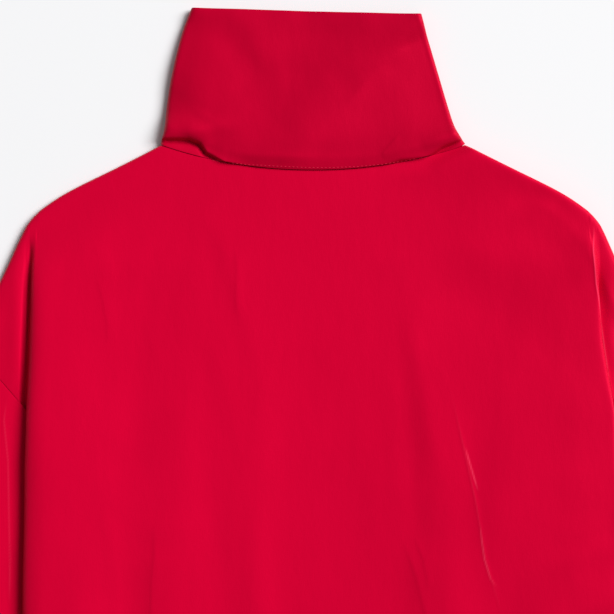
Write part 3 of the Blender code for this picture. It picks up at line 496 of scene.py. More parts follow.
# %% [markdown]
# ## Which points are pressed
# A crease belongs to the cloth on top. The layers under it stay as they were. The height of a point
# below the first hit of a ray from above tells the top wall from the rest. Both sides of that wall
# are moved alike, so the cloth keeps its thickness. Where the cloth turns over an edge the share of
# the press fades out with depth, and a few rounds of averaging over the mesh keep that fade soft.
# The press also fades beside the neck seam, where the collar and the back are sewn together, and it
# never pushes cloth below the floor. The hidden layers then lose the fine mesh that they don't
# need.

# %% Find the top wall and press it
RAY_START = 0.5             # metres above the floor
WALL_MARGIN = 1.15          # a sloping wall is deeper, seen from above, than its thickness
FADE_DEPTH = 2.2            # millimetres below the top wall over which the press fades out
SHARE_ROUNDS = 3
FINE_REACH = (4.0, 2.0)     # millimetres; the mesh is split once within each distance
FACES_UP = 0.3              # least upward part of the normal of a face that is split
ON_TOP = 0.5                # millimetres below the highest surface that still count as on top
SEAM_REACH = 12.0
HIDDEN_SHARE = 0.02         # points with less than this share of the press are hidden
FLAT_ANGLE = math.radians(1.5)
NECK_SEAM = (
    (-125, 17), (-88.6, 7.4), (-72.2, 3.3), (-52.5, 0.8), (-23, -0.8), (0, -1.6),
    (16.4, -1.6), (36, -0.8), (56, 0.8), (92, 7.4), (120, 21),
)


def nape_columns(places):
    """Places as two arrays of millimetres, right of and above the nape."""
    table = np.array([(place.x, place.y) for place in places])
    return table[:, 0] / MM, (table[:, 1] - NAPE_Y) / MM


def depth_below_top(tree, place):
    """How far a point lies under the piece's highest surface there, in millimetres."""
    hit = tree.ray_cast(Vector((place.x, place.y, RAY_START)), Vector((0, 0, -1)))[0]
    return 0.0 if hit is None else max(0.0, (hit.z - place.z) / MM)


def top_share(bm, wall):
    """1 for points of the top wall, 0 for deeper ones, with a soft change between them."""
    tree = BVHTree.FromBMesh(bm)
    bm.verts.index_update()
    depth = np.array([depth_below_top(tree, vert.co) for vert in bm.verts])
    share = np.clip((wall * WALL_MARGIN + FADE_DEPTH - depth) / FADE_DEPTH, 0, 1)
    ends = np.array([(edge.verts[0].index, edge.verts[1].index) for edge in bm.edges])
    first, second, count = ends[:, 0], ends[:, 1], len(share)
    neighbours = 1 + np.bincount(first, minlength=count) + np.bincount(second, minlength=count)
    for _ in range(SHARE_ROUNDS):
        total = share + np.bincount(first, share[second], count)
        share = (total + np.bincount(second, share[first], count)) / neighbours
    return share


def split_near(bm, creases):
    """Makes the top layer's mesh finer beside hard creases."""
    for reach in FINE_REACH:
        bm.normal_update()
        tree = BVHTree.FromBMesh(bm)
        faces = [face for face in bm.faces if face.normal.z > FACES_UP]
        x, y = nape_columns([face.calc_center_median() for face in faces])
        near = np.zeros(len(x), dtype=bool)
        for crease in creases:
            near |= np.abs(beside_line(crease["points"], x, y)[0]) < reach
        edges = set()
        for k in np.flatnonzero(near):
            if depth_below_top(tree, faces[k].calc_center_median()) < ON_TOP:
                edges.update(faces[k].edges)
        bmesh.ops.subdivide_edges(bm, edges=list(edges), cuts=1, use_grid_fill=True)


def thin_out(bm, hidden):
    """Merges flat faces of the hidden layers, which need no fine mesh."""
    inside = set(hidden)
    edges = [edge for edge in bm.edges if inside.issuperset(edge.verts)]
    bmesh.ops.dissolve_limit(bm, angle_limit=FLAT_ANGLE, verts=hidden, edges=edges)


def press(bm, wall, fold_table, crease_table):
    """Shapes the top wall by a table of folds and one of creases, and marks where a crease's painted
    highlight goes.
    """
    creases = rows_of(CREASE_COLUMNS, crease_table)
    split_near(bm, creases)
    share = top_share(bm, wall)
    x, y = nape_columns([vert.co for vert in bm.verts])
    from_seam = np.clip(np.abs(beside_line(NECK_SEAM, x, y)[0]) / SEAM_REACH, 0, 1)
    rise = soft_height(fold_table, x, y) * eased(from_seam)
    # Each point of the top wall takes the painted highlight of the creases near it.
    highlighted = np.zeros(len(x))
    for crease in creases:
        step, pale = crease_at(crease, x, y)
        rise += step
        highlighted = np.maximum(highlighted, pale)
    bm.normal_update()
    room = [vert.co.z / MM - wall * (vert.normal.z + 1) / 2 for vert in bm.verts]
    rise = np.maximum(rise * share, -np.maximum(room, 0))
    painted_highlight = bm.verts.layers.float.new("painted_highlight")
    for vert, up, pale in zip(bm.verts, rise, highlighted * share):
        vert.co.z += up * MM
        vert[painted_highlight] = pale
    thin_out(bm, [vert for vert, part in zip(bm.verts, share) if part < HIDDEN_SHARE])
    print("pressed between", round(rise.min(), 2), "and", round(rise.max(), 2), "mm")


# %% [markdown]
# ## The back
# The back is one panel with the cloth that goes round the shoulders. The photograph shows long
# folds that fall from the collar and the shoulders towards the hem. The largest are in the solid
# already. These rows add the finer ones between them. Beside the left arm the back's edge stands
# high over the sleeve and shades it, so that edge has a long step with two roll-offs beside it.
# Beside the right arm it shows only as a thin line, with a pale painted highlight. The folded edges
# are not quite straight, so each is first pulled a little sideways.

# %% Back
BACK_FOLDS = (
    (-80, -33, -42, -170, 1.1, 10.9, 39.7, 0.95),
    (-37, -121, -40, -408, -5.6, 12.0, 18.7, 0.74),
    (-170, -41, -154, -245, 3.1, 19.2, 31.2, 2.04),
    (-104, -140, -72, -438, -14.0, 37.3, 19.5, 1.66),
    (-87, -141, -50, -266, 4.9, 6.7, 37.8, 0.28),
    (72, -136, 90, -332, 3.2, 11.6, 22.3, -1.16),
    (78, -110, 105, -262, -1.6, 7.7, 8.0, 0.48),
    (57, -188, 96, -563, 7.5, 45.0, 24.2, 2.41),
    (235, 96, 255, -457, 8.5, 25.2, 17.1, 1.40),
    (166, -98, 147, -490, -14.0, 41.6, 25.4, 3.54),
    (59, 23, 305, -38, 14.0, 32.8, 16.1, 4.00),
    (-224, -182, -233, -464, 9.9, 10.1, 28.1, 1.17),
    (-128, -274, -108, -521, -12.9, 32.4, 24.1, 3.25),
    (-17, -112, 40, -350, 13.7, 37.7, 12.2, -0.31),
    (-70, -6, -103, -190, -13.6, 14.8, 14.9, 0.47),
    (-173, -34, -134, -103, 12.5, 22.6, 24.9, 0.75),
    (-170, -272, -161, -403, 5.0, 7.5, 5.8, 0.25),
    (-107, -45, -123, -187, -10.6, 8.3, 24.5, 0.45),
    (-52, -104, 13, -426, -6.8, 23.3, 45.0, 1.45),
    (221, -41, 260, -134, -2.1, 7.2, 28.7, 2.16),
    (169, -24, 234, -97, 12.4, 16.1, 10.4, 2.69),
    (201, 114, 138, -120, -8.2, 45.0, 28.4, 2.92),
    (-145, -206, -123, -314, -2.2, 20.6, 24.5, 1.34),
    (213, -277, 217, -389, -1.2, 15.2, 16.4, 0.64),
    (219, -303, 241, -369, -2.5, 26.1, 45.0, 3.15),
    (137, 38, 240, -75, 14.0, 17.9, 38.5, 4.00),
    (207, -235, 217, -323, 1.6, 19.7, 30.7, 0.53),
    (241, -155, 247, -328, 6.4, 5.2, 9.1, 1.12),
    (228, -164, 241, -333, -13.3, 23.0, 38.5, 2.23),
    (-187, -10, -212, -452, -13.6, 18.0, 39.3, -1.76),
    (-142, -67, -231, -400, -5.6, 24.9, 32.8, 0.44),
    (67, -61, 98, -137, 0.1, 19.6, 31.1, 0.81),
    (118, -93, 133, -166, -0.3, 7.5, 6.6, 0.08),
    (153, 27, 158, -66, -0.4, 11.8, 12.0, -0.19),
    (6, -135, 9, -207, 1.5, 8.9, 13.5, 0.17),
    (247, -70, 264, -260, 0.0, 9.0, 40.0, -3.00),
    (166, -50, 170, -175, 0.0, 30.0, 20.0, 0.90),
    (196, -50, 198, -175, 0.0, 20.0, 30.0, -0.90),
)
LEFT_EDGE = (
    (-229.8, -50), (-230.8, -95), (-232.9, -160), (-234.5, -200),
    (-236.4, -240), (-238, -340), (-238, -600),
)


def moved(points, aside):
    """A line, moved sideways."""
    return tuple((x + aside, y) for x, y in points)


BACK_CREASES = (
    (2.5, 70.0, 7.5, 0.0, 0.35, LEFT_EDGE),
    (1.5, 5.0, -2.2, 0.0, 0.12, moved(LEFT_EDGE, -2.0)),
    (1.5, 14.0, -3.0, 0.0, 0.20, moved(LEFT_EDGE, -5.0)),
    (1.2, 1.2, 0.25, 0.7, 0.12, (
        (229.6, -44), (228.8, -68), (231.2, -94), (233.7, -107),
        (237.4, -134), (241.1, -160), (246, -199), (250, -240),
    )),
    (1.0, 1.2, 0.08, 0.75, 0.3, ((123.8, -226), (131.8, -253), (135.3, -265))),
    (1.0, 1.2, 0.08, 0.6, 0.3, (
        (135.9, -286), (137.8, -304), (140, -319), (145, -335), (152.3, -344),
    )),
    (1.2, 1.6, 0.20, 0.12, 0.3, (
        (111.5, -175), (122, -222), (132.8, -271), (141.2, -321), (151, -353), (157, -375),
    )),
    (1.6, 6.0, 0.20, 0.0, 0.25, ((-63, -62), (-62.1, -84), (-63, -107), (-60.5, -125))),
    (1.6, 7.0, 0.25, 0.0, 0.25, (
        (-129.7, -285), (-128.9, -312), (-131.3, -340), (-132.2, -372), (-134.5, -405),
    )),
    (1.6, 6.0, 0.22, 0.0, 0.25, (
        (72.8, -300), (78.6, -317), (85.1, -335), (91.7, -362), (94.5, -395),
    )),
    (1.6, 5.0, 0.18, 0.0, 0.25, ((81.9, -298), (90.9, -320), (95.8, -348))),
    (1.6, 5.0, 0.14, 0.0, 0.25, ((-177.8, -83), (-172, -105), (-167.9, -126), (-167.1, -146))),
)
PULL_COLUMNS = ("y", "edge_x", "shift")
LEFT_PULL = (
    (-620, -238, 0.0), (-340, -236, -0.8), (-290, -235.3, -1.0), (-240, -233.7, -1.6),
    (-200, -232, -1.6), (-160, -232, -0.6), (-95, -230.5, -0.3), (-50, -230, 0.0),
)
RIGHT_PULL = (
    (-330, 250, 0.0), (-260, 248.5, 1.5), (-200, 242, 4.2), (-170, 240.3, 2.0),
    (-140, 238.3, -0.4), (-107, 234.4, 0.2), (-80, 232, 0.4), (-50, 231, 0.0),
)
PULL_REACH = 8.0


def pull(bm, table):
    """Moves a folded edge sideways, by an amount that changes along it."""
    columns = dict(zip(PULL_COLUMNS, zip(*table)))
    x, y = nape_columns([vert.co for vert in bm.verts])
    edge_x = np.interp(y, columns["y"], columns["edge_x"])
    near = np.exp(-(((x - edge_x) / PULL_REACH) ** 2))
    for vert, move in zip(bm.verts, np.interp(y, columns["y"], columns["shift"]) * near):
        vert.co.x += move * MM


back_mesh = subdivided(quads_of("back"))
pull(back_mesh, LEFT_PULL)
pull(back_mesh, RIGHT_PULL)
press(back_mesh, CLOTH_WALL, BACK_FOLDS, BACK_CREASES)
back = new_piece("back_panel", back_mesh, nylon)
put_on(back, BODY, "cloth", "back")

# %% [markdown]
# ## Collar
# The tall collar was rolled and then pressed flat, so two broad creases meet in a V over its
# middle. Low on both sides it rolls over its own seam. That roll is a step: steep below, and long
# and soft above.

# %% Collar
COLLAR_FOLDS = (
    (-84, 140, -18, 55, 14.0, 15.3, 35.4, 1.74),
    (110, 127, 19, 27, 13.8, 9.7, 9.9, 0.43),
    (-11, 155, 113, 116, -14.0, 21.9, 25.1, 4.00),
    (-63, 68, 0, 4, 4.7, 45.0, 23.3, 1.91),
    (-182, 116, -73, 54, 8.0, 10.5, 32.6, 0.90),
    (61, 57, 51, -6, 3.0, 3.6, 3.5, 0.09),
    (40, 149, -57, 67, 14.0, 33.3, 13.7, -1.39),
    (-110, 14, 177, 35, -3.0, 28.7, 16.1, 2.07),
    (-80, 112, -78, 1, 13.3, 19.9, 16.9, 1.29),
    (-92, 34, -80, -26, 1.1, 45.0, 18.9, -3.98),
    (77, 135, 113, 10, 3.4, 23.6, 5.4, -2.13),
    (86, 121, 29, 63, 0.0, 45.0, 6.5, 1.02),
    (-61, 104, -41, 78, 7.2, 6.3, 5.7, 0.32),
    (-155, 83, -65, 29, 12.0, 10.7, 35.0, 1.86),
    (34, 157, -29, 24, -13.1, 21.4, 18.0, -2.25),
    (-1, 109, 13, 64, -5.0, 19.5, 26.5, 0.91),
    (62, 169, 86, 103, 14.0, 21.0, 27.7, 4.00),
    (37, 108, 46, 80, -5.2, 12.6, 17.1, 0.77),
    (-3, 130, -5, 78, 0.9, 15.9, 15.7, 0.92),
    (-87, 49, -101, 23, 4.1, 9.6, 10.2, 0.85),
    (-10, 90, -15, 55, -0.0, 7.8, 12.3, 0.34),
)
COLLAR_CREASES = (
    (1.3, 10.0, 3.4, 0.0, 0.30, (
        (-155, 20), (-130, 23), (-121.4, 25.4), (-101.7, 25.4),
        (-91.8, 21.3), (-86.9, 13.9), (-72.2, 6.5), (-45, 3.0),
    )),
    (1.5, 10.0, 3.2, 0.0, 0.35, (
        (35, 2.5), (58, 4.5), (71.3, 7.4), (91.8, 9.0),
        (105.0, 18.0), (116.4, 23.0), (124, 27), (150, 34),
    )),
    (2.2, 1.6, -2.6, 0.0, 0.20, (
        (-130, 21.5), (-121.4, 23.5), (-101.7, 23.5), (-93.3, 20.0), (-88.4, 12.5), (-74, 5.0),
    )),
    (2.0, 1.8, -2.6, 0.0, 0.25, (
        (58, 2.8), (71.3, 5.6), (92.5, 7.2), (105.8, 16.2), (117, 21.2), (126, 25),
    )),
    (1.5, 5.0, 0.25, 0.0, 0.25, ((71.3, 27.9), (64, 20), (55, 9.0))),
    (3.0, 8.0, 1.2, 0.0, 0.15, ((-60, 4), (-23, 2.5), (0, 1.8), (16, 1.8), (36, 2.5), (60, 4.5))),
    (30.0, 14.0, -2.4, 0.0, 0.15, ((-101, 135), (-113, 80), (-124, 35))),
    (4.0, 4.0, 0.45, 0.0, 0.30, ((84, 106), (47, 73), (22, 48))),
)
collar_mesh = subdivided(quads_of("collar"))
press(collar_mesh, COLLAR_WALL, COLLAR_FOLDS, COLLAR_CREASES)
collar = new_piece("collar_band", collar_mesh, shaded_collar_nylon)
put_on(collar, BODY, "cloth", "collar")

# %% [markdown]
# ## Sleeves
# The sleeves hang straight down beside the body and lie flat. The photograph shows only a corner of
# each. Their folds go on as the back's do: long, narrow, and a little turned towards the cuff.

# %% Sleeves
SLEEVE_FOLDS = {
    "left": (
        (-285, -200, -300, -420, -4.0, 9.0, 14.0, 1.60),
        (-318, -230, -330, -400, 3.0, 12.0, 8.0, 1.10),
        (-270, -380, -290, -610, 4.0, 12.0, 16.0, 1.50),
        (-325, -430, -338, -620, -3.0, 9.0, 12.0, 1.30),
        (-300, -520, -306, -630, 0.0, 7.0, 9.0, 0.80),
    ),
    "right": (
        (262, -130, 266, -300, -3.0, 12.0, 10.0, 1.60),
        (290, -190, 306, -430, 4.0, 12.0, 9.0, 1.50),
        (322, -240, 332, -390, -3.0, 8.0, 12.0, 1.10),
        (276, -400, 292, -600, -4.0, 15.0, 12.0, 1.40),
        (328, -420, 340, -610, 3.0, 11.0, 9.0, 1.20),
        (304, -540, 308, -632, 0.0, 8.0, 8.0, 0.70),
    ),
}
SLEEVE_CREASES = {
    "left": (
        (1.2, 1.4, 0.12, 0.22, 0.15, (
            (-251, -186), (-253.4, -206), (-250.1, -239), (-248.5, -321), (-249, -360),
        )),
    ),
    "right": (
        (1.5, 1.8, 0.40, 0.55, 0.2, ((300, -260), (306, -320), (309, -380), (318, -440))),
    ),
}
sleeves = {}
for side in ("left", "right"):
    sleeve_mesh = subdivided(quads_of("sleeve_" + side))
    press(sleeve_mesh, CLOTH_WALL, SLEEVE_FOLDS[side], SLEEVE_CREASES[side])
    sleeves[side] = new_piece("arm_" + side, sleeve_mesh, nylon)
    put_on(sleeves[side], BODY, "cloth", "sleeve_" + side)

# %% [markdown]
# ## Fronts
# The two fronts lie under the back, with their outer side on the floor, so they are almost flat.
# Their solids are single plates. Cuts across them give them points to bend at, and where the cloth
# bridges the floor it lifts by less than a millimetre. The edge beside the zip stays down.

# %% Fronts
CUT_PITCH = 15.0 * MM
FRONT_FOLDS = (
    (60, -90, 75, -330, 8.0, 9.0, 14.0, 0.70),
    (130, -60, 120, -260, -6.0, 14.0, 9.0, 0.60),
    (185, -120, 205, -420, 6.0, 12.0, 16.0, 0.75),
    (105, -330, 130, -590, -8.0, 14.0, 12.0, 0.70),
    (215, -400, 225, -600, 4.0, 10.0, 12.0, 0.60),
    (55, -450, 48, -610, 3.0, 8.0, 10.0, 0.50),
)


def cut_across(bm, axis, low, high, pitch):
    """Cuts a mesh into strips by planes across an axis."""
    count = int((high - low) / pitch)
    for n in range(1, count + 1):
        place = [0.0, 0.0, 0.0]
        place[axis] = low + n * (high - low) / (count + 1)
        normal = [float(k == axis) for k in range(3)]
        geom = list(bm.verts) + list(bm.edges) + list(bm.faces)
        bmesh.ops.bisect_plane(bm, geom=geom, plane_co=place, plane_no=normal)


fronts = {}
for side, turn in (("left", -1), ("right", 1)):
    front_mesh = merged("front_" + side)
    bevel_sharp(front_mesh, CUT_EDGE_ANGLE, CUT_EDGE_ROUND)
    low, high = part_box("front_" + side)
    cut_across(front_mesh, 0, low[0], high[0], CUT_PITCH)
    cut_across(front_mesh, 1, low[1], high[1], CUT_PITCH)
    x, y = nape_columns([vert.co for vert in front_mesh.verts])
    for vert, up in zip(front_mesh.verts, soft_height(FRONT_FOLDS, x * turn, y)):
        vert.co.z += up * MM
    fronts[side] = new_piece("front_panel_" + side, front_mesh, nylon)
    put_on(fronts[side], BODY, "cloth", "front_" + side)

# %% [markdown]
# ## Zip tapes and coil
# The zip is a coil zip: a plastic wire wound in a helix along the edge of each tape, round a cord.
# Teeth could be modelled one by one, but a single turn of a small ring, spun and pushed along at
# the same time, winds the whole helix. The two helices are half a turn apart, so their loops mesh.
# The tape's own solid has a thick edge that stands for cord and coil, so that edge is thinned to
# the cord.

# %% Tapes and coil
TAPE_EDGE_X = 2.9 * MM      # the thick edge reaches this far from the zip's middle
TAPE_EDGE_TOP = 0.3255      # metres; the tape is flat above
TAPE_ANGLE = math.radians(50)
TAPE_ROUND = 0.12 * MM
CORD_SHARE = 0.35
COIL_X = 1.35 * MM
COIL_WIDE = 1.35 * MM
COIL_HIGH = 0.68 * MM
WIRE = 0.24 * MM
WIRE_SIDES = 5
WIRE_WELD = 0.02 * MM
COIL_PITCH = 1.5 * MM
COIL_STEPS = 8
COIL_START = 1.0 * MM       # above the tape's lower end
COIL_TOP = 0.3175           # metres; the slider covers its end


def clip(value):
    """The value, kept between 0 and 1."""
    return min(1.0, max(0.0, value))


def mix(first, second, share):
    """The value that lies a share of the way from the first to the second."""
    return first + (second - first) * share


def tape_levels(bm):
    """The height of the tape's middle at each place along it."""
    rows = {}
    for vert in bm.verts:
        rows.setdefault(round(vert.co.y, 4), []).append(vert.co.z)
    return sorted((y, (min(heights) + max(heights)) / 2) for y, heights in rows.items())


def level_at(levels, y):
    """Height between two known levels."""
    for (low_y, low_z), (high_y, high_z) in zip(levels, levels[1:]):
        if y <= high_y:
            return mix(low_z, high_z, clip((y - low_y) / (high_y - low_y)))
    return levels[-1][1]


def one_turn():
    """One turn of wire, wound by a spin that moves along as it turns."""
    bm = bmesh.new()
    ring_place = Matrix.Translation((COIL_HIGH, 0, 0)) @ Matrix.Rotation(math.pi / 2, 4, "X")
    bmesh.ops.create_circle(bm, segments=WIRE_SIDES, radius=WIRE, matrix=ring_place)
    step = COIL_PITCH / COIL_STEPS
    bmesh.ops.spin(
        bm,
        geom=list(bm.edges),
        cent=(0, 0, 0),
        axis=(0, 1, 0),
        dvec=(0, step, 0),
        angle=2 * math.pi,
        steps=COIL_STEPS,
    )
    return bm


def wind_coil(turn, start, end, levels):
    """One edge's coil: the same turn again and again, then pulled wide and laid along the tape."""
    turns = int((end - start) / COIL_PITCH)
    wire = new_piece("wire", one_turn(), zip_plastic)
    row = wire.modifiers.new("row", "ARRAY")
    row.count = turns
    row.use_relative_offset = False
    row.use_constant_offset = True
    row.constant_offset_displace = (0, COIL_PITCH, 0)
    row.use_merge_vertices = True
    row.merge_threshold = WIRE_WELD
    bm = bmesh.new()
    bm.from_object(wire, bpy.context.evaluated_depsgraph_get())
    mesh = wire.data
    bpy.data.objects.remove(wire)
    bpy.data.meshes.remove(mesh)
    bmesh.ops.holes_fill(bm, edges=[edge for edge in bm.edges if edge.is_boundary])
    for vert in bm.verts:
        vert.co.x = turn * (COIL_X + vert.co.x * COIL_WIDE / COIL_HIGH)
        vert.co.y += start + (0 if turn > 0 else COIL_PITCH / 2)
        vert.co.z += level_at(levels, vert.co.y)
    bmesh.ops.recalc_face_normals(bm, faces=bm.faces)
    return bm


tapes, coils = {}, {}
for side, turn in (("left", -1), ("right", 1)):
    node = "zip_tape_" + side
    tape_mesh = merged(node)
    levels = tape_levels(tape_mesh)
    for vert in tape_mesh.verts:
        if abs(vert.co.x) < TAPE_EDGE_X and vert.co.y < TAPE_EDGE_TOP:
            middle = level_at(levels, vert.co.y)
            vert.co.z = middle + (vert.co.z - middle) * CORD_SHARE
    bevel_sharp(tape_mesh, TAPE_ANGLE, TAPE_ROUND)
    tapes[side] = new_piece("tape_" + side, tape_mesh, woven_tape, smooth_shaded=False)
    put_on(tapes[side], BODY, "zip_tape", node)
    low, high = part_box(node)
    coil_mesh = wind_coil(turn, low[1] + COIL_START, COIL_TOP, levels)
    coils[side] = new_piece("coil_" + side, coil_mesh, zip_plastic)
    put_on(coils[side], BODY, "zip_plastic")

# %% [markdown]
# ## Slider, pull tab and box
# The slider's solid has its two plates, the post between them and the bail that the tab hangs on.
# Cast metal has no sharp edge anywhere, so every edge is rounded, and two ribs are cast on each
# plate to hold the coil between them. The tab's broad faces are sunk a little inside a raised rim,
# for grip.

# %% Zip hardware
CAST_ANGLE = math.radians(40)
CAST_ROUND = 0.16 * MM
RIB_SIZE = (0.55 * MM, 7.6 * MM, 0.60 * MM)
RIB_X = 4.0 * MM
RIB_HEIGHTS = (4.55 * MM, 6.30 * MM)    # one on each plate
TAB_RIM, TAB_SINK = 0.45 * MM, 0.15 * MM
BOX_ROUND = 0.35 * MM
BOX_RIM, BOX_SINK = 0.9 * MM, 0.2 * MM
BROAD = 0.99                # least part of a broad face's normal that points the wanted way
LEVEL = 0.01 * MM           # faces this close in height are one face
STRAIGHT = math.radians(1)


def add_block(bm, centre, size):
    """A closed block from a cube."""
    block = bmesh.ops.create_cube(bm, size=1.0)["verts"]
    bmesh.ops.scale(bm, verts=block, vec=size)
    bmesh.ops.translate(bm, verts=block, vec=centre)


def sunk_face(bm, wanted, border, depth):
    """Sinks the broad faces that point a wanted way, inside a border."""
    bm.normal_update()
    broad = [face for face in bm.faces if face.normal.z * wanted > BROAD]
    highest = max(face.calc_center_median().z * wanted for face in broad)
    broad = [face for face in broad if face.calc_center_median().z * wanted > highest - LEVEL]
    bmesh.ops.inset_region(bm, faces=broad, thickness=border, depth=-depth, use_even_offset=True)


slider_low, slider_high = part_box("slider")
slider_mesh = merged("slider")
rib_y = (slider_low[1] + slider_high[1]) / 2
for rib_x in (-RIB_X, RIB_X):
    for rib_z in RIB_HEIGHTS:
        add_block(slider_mesh, (rib_x, rib_y, rib_z), RIB_SIZE)
bevel_sharp(slider_mesh, CAST_ANGLE, CAST_ROUND)
zip_slider = new_piece("zip_slider", slider_mesh, plated_metal, smooth_shaded=False)
put_on(zip_slider, BODY, "zip_metal", "slider")

tab_mesh = merged("pull_tab")
bevel_sharp(tab_mesh, CAST_ANGLE, CAST_ROUND)
for way in (-1, 1):
    sunk_face(tab_mesh, way, TAB_RIM, TAB_SINK)
tab = new_piece("zip_tab", tab_mesh, plated_metal, smooth_shaded=False)
put_on(tab, TAB_BODY, "zip_metal", "pull_tab")

box_mesh = merged("zip_box")
bmesh.ops.dissolve_limit(box_mesh, angle_limit=STRAIGHT, verts=box_mesh.verts, edges=box_mesh.edges)
bevel_sharp(box_mesh, CAST_ANGLE, BOX_ROUND, segments=3)
for way in (-1, 1):
    sunk_face(box_mesh, way, BOX_RIM, BOX_SINK)
zip_end = new_piece("zip_end", box_mesh, zip_plastic, smooth_shaded=False)
put_on(zip_end, BODY, "zip_plastic", "zip_box")

# %% [markdown]
# ## Sewing
# A row of stitches could be a dashed line in the material, but then it would lie flat in the cloth.
# Each stitch is a small dash of thread instead, laid from one needle hole to the next, on the cloth
# as it finally is. A ray finds the height of the cloth at both holes. Rows on the fronts and inside
# of the cuffs are laid from below.

# %% Stitches
STITCH_PITCH = 3.3
STITCH_SHARE = 0.70         # the rest of the pitch is under the cloth
STITCH_WIDE = 0.55 * MM
STITCH_HIGH = 0.34 * MM
STITCH_STEP = 1.0 * MM      # no stitch is laid across a higher step
STITCH_SIDES, STITCH_RINGS = 6, 4
STITCH_LINES = {
    "collar_seam": (
        "above",
        (
            (-83, 7.6), (-72.2, 5.6), (-52.5, 3.5), (-23, 2.0), (-3.3, 1.2),
            (16.4, 1.2), (36.1, 2.0), (55.8, 3.7), (91.8, 9.6),
        ),
    ),
    "hem_back": ("above", ((-262, -620), (262, -620))),
    "hem_left": ("below", ((-262, -620), (-18, -620))),
    "hem_right": ("below", ((18, -620), (262, -620))),
    "zip_left": ("below", ((-8.5, -634), (-8.5, 5))),
    "zip_right": ("below", ((8.5, -634), (8.5, 5))),
    "zip_left_outer": ("below", ((-14.5, -634), (-14.5, 5))),
    "zip_right_outer": ("below", ((14.5, -634), (14.5, 5))),
    "cuff_left": ("above", ((-262, -615), (-364, -606))),
    "cuff_right": ("above", ((262, -615), (364, -606))),
    "cuff_left_inner": ("below", ((-262, -615), (-364, -606))),
    "cuff_right_inner": ("below", ((262, -615), (364, -606))),
}


def from_nape(x, y):
    """A place in metres from millimetres right of and above the nape."""
    return x * MM, y * MM + NAPE_Y


def along_line(points, pitch):
    """Places at equal steps along a bent line, with the run and length of their part of it."""
    places, left_over = [], 0.0
    for (start_x, start_y), (end_x, end_y) in zip(points, points[1:]):
        run = (end_x - start_x, end_y - start_y)
        length = math.hypot(*run)
        done = left_over
        while done < length:
            share = done / length
            places.append((mix(start_x, end_x, share), mix(start_y, end_y, share), *run, length))
            done += pitch
        left_over = done - length
    return places


def cloth_at(trees, x, y, side):
    """The cloth's surface at a place, seen from above or from below."""
    way = -1 if side == "above" else 1
    start = Vector((*from_nape(x, y), -way * RAY_START))
    hits = [tree.ray_cast(start, Vector((0, 0, way)))[0] for tree in trees]
    hits = [hit for hit in hits if hit is not None]
    return max(hits, key=lambda hit: -way * hit.z) if hits else None


def one_stitch():
    """A dash of thread one metre long, to be scaled to each place."""
    bm = bmesh.new()
    bmesh.ops.create_uvsphere(bm, u_segments=STITCH_SIDES, v_segments=STITCH_RINGS, radius=0.5)
    mesh = bpy.data.meshes.new("stitch")
    bm.to_mesh(mesh)
    bm.free()
    return mesh


def sew(bm, trees, side, points):
    """Adds one row of stitches."""
    count = 0
    for x, y, dx, dy, length in along_line(points, STITCH_PITCH):
        reach = STITCH_PITCH * STITCH_SHARE / length
        start = cloth_at(trees, x, y, side)
        end = cloth_at(trees, x + dx * reach, y + dy * reach, side)
        if start is None or end is None or abs(start.z - end.z) > STITCH_STEP:
            continue
        run = end - start
        turn = run.to_track_quat("X", "Z").to_matrix().to_4x4()
        size = Matrix.Diagonal((run.length, STITCH_WIDE, STITCH_HIGH, 1.0))
        stitch = STITCH.copy()
        stitch.transform(Matrix.Translation((start + end) / 2) @ turn @ size)
        bm.from_mesh(stitch)
        bpy.data.meshes.remove(stitch)
        count += 1
    return count


STITCH = one_stitch()
cloth_pieces = [back, collar, *sleeves.values(), *fronts.values()]
depsgraph = bpy.context.evaluated_depsgraph_get()
trees = [BVHTree.FromObject(piece, depsgraph) for piece in cloth_pieces]
for name, (side, points) in STITCH_LINES.items():
    row = bmesh.new()
    count = sew(row, trees, side, points)
    stitches = new_piece("stitches_" + name, row, thread)
    put_on(stitches, BODY, "cloth")
    print(name, "has", count, "stitches")
bpy.data.meshes.remove(STITCH)

# %% [markdown]
# ## Cut sizes
# Every sheet was cut to a size before it was sewn, and this script states none of these sizes. On a
# sleeve and on the collar the cut goes all round, because they are tubes. The cut areas are those
# of the shaped pieces, which are smaller than the box around them.

print("the back, the collar and both sides' front, sleeve and tape are cut sheets")

# %% [markdown]
# ## Floor, light and camera
# The jacket is photographed from straight above on a white floor. One large distant softbox, on the
# right and a little towards the collar, draws the folds and leaves a soft shadow left of the collar.
# A pale room fills the rest.

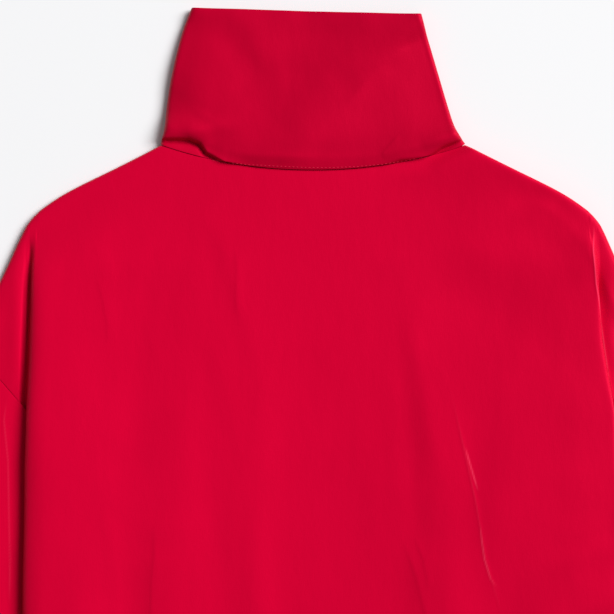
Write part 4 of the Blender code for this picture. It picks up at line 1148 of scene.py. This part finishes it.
# %% Floor
FLOOR_Z = -0.5 * MM
FLOOR_SIZE = 6.0
FLOOR_WHITE = (0.840, 0.840, 0.852)
FLOOR_ROUGHNESS = 0.9
FLOOR_SHEEN = 0.1
floor_finish = Finish("white_floor", FLOOR_WHITE, FLOOR_ROUGHNESS, Specular_IOR_Level=FLOOR_SHEEN)
floor_mesh = bmesh.new()
bmesh.ops.create_grid(floor_mesh, x_segments=1, y_segments=1, size=FLOOR_SIZE / 2)
bmesh.ops.translate(floor_mesh, verts=floor_mesh.verts, vec=(0, 0, FLOOR_Z))
floor = new_piece("floor", floor_mesh, floor_finish.material)
floor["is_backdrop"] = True
print("floor at", FLOOR_Z / MM, "mm")

# %% Light
SOFTBOX_PLACE = (13.3, 6.7, 13.3)
SOFTBOX_SIZE = 11.0
SOFTBOX_POWER = 5850
ROOM_WHITE = (1.0, 1.0, 1.0, 1.0)
ROOM_STRENGTH = 0.20
VIEW_CENTRE = Vector((-4.9 * MM, 140.6 * MM, 8.0 * MM))


def soft_light(name, place, size, power, target):
    """A square area light that looks at a target."""
    lamp = bpy.data.lights.new(name, "AREA")
    lamp.shape = "SQUARE"
    lamp.size = size
    lamp.energy = power
    light = bpy.data.objects.new(name, lamp)
    light.location = place
    light.rotation_euler = (Vector(target) - Vector(place)).to_track_quat("-Z", "Y").to_euler()
    bpy.context.scene.collection.objects.link(light)


soft_light("softbox", SOFTBOX_PLACE, SOFTBOX_SIZE, SOFTBOX_POWER, VIEW_CENTRE)
room = bpy.data.worlds.new("room")
room.use_nodes = True
background = room.node_tree.nodes["Background"]
background.inputs["Color"].default_value = ROOM_WHITE
background.inputs["Strength"].default_value = ROOM_STRENGTH
bpy.context.scene.world = room
print("the softbox is", SOFTBOX_SIZE, "m wide")

# %% Camera
LENS = 100.0
SENSOR = 36.0
PHOTO_PIXELS = 614
PIXEL = 0.82                # millimetres of the jacket that one pixel shows
FRAME_WIDTH = PHOTO_PIXELS * PIXEL * MM
camera_data = bpy.data.cameras.new("camera")
camera_data.lens = LENS
camera_data.sensor_width = SENSOR
camera = bpy.data.objects.new("camera", camera_data)
camera.location = VIEW_CENTRE + Vector((0, 0, FRAME_WIDTH * LENS / SENSOR))
bpy.context.scene.collection.objects.link(camera)
bpy.context.scene.camera = camera
bpy.context.scene.view_settings.view_transform = "Standard"
print("the camera looks down from", round(camera.location.z, 3), "m")

# %% [markdown]
# ## Sizes
# The finished jacket's box is printed, in millimetres. The finished jacket has to stay within
# the solids' own box, apart from a little for soft cloth.

# %% Print the finished box
low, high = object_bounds()
print("visual", [round(v / MM, 1) for v in (*low, *high)])
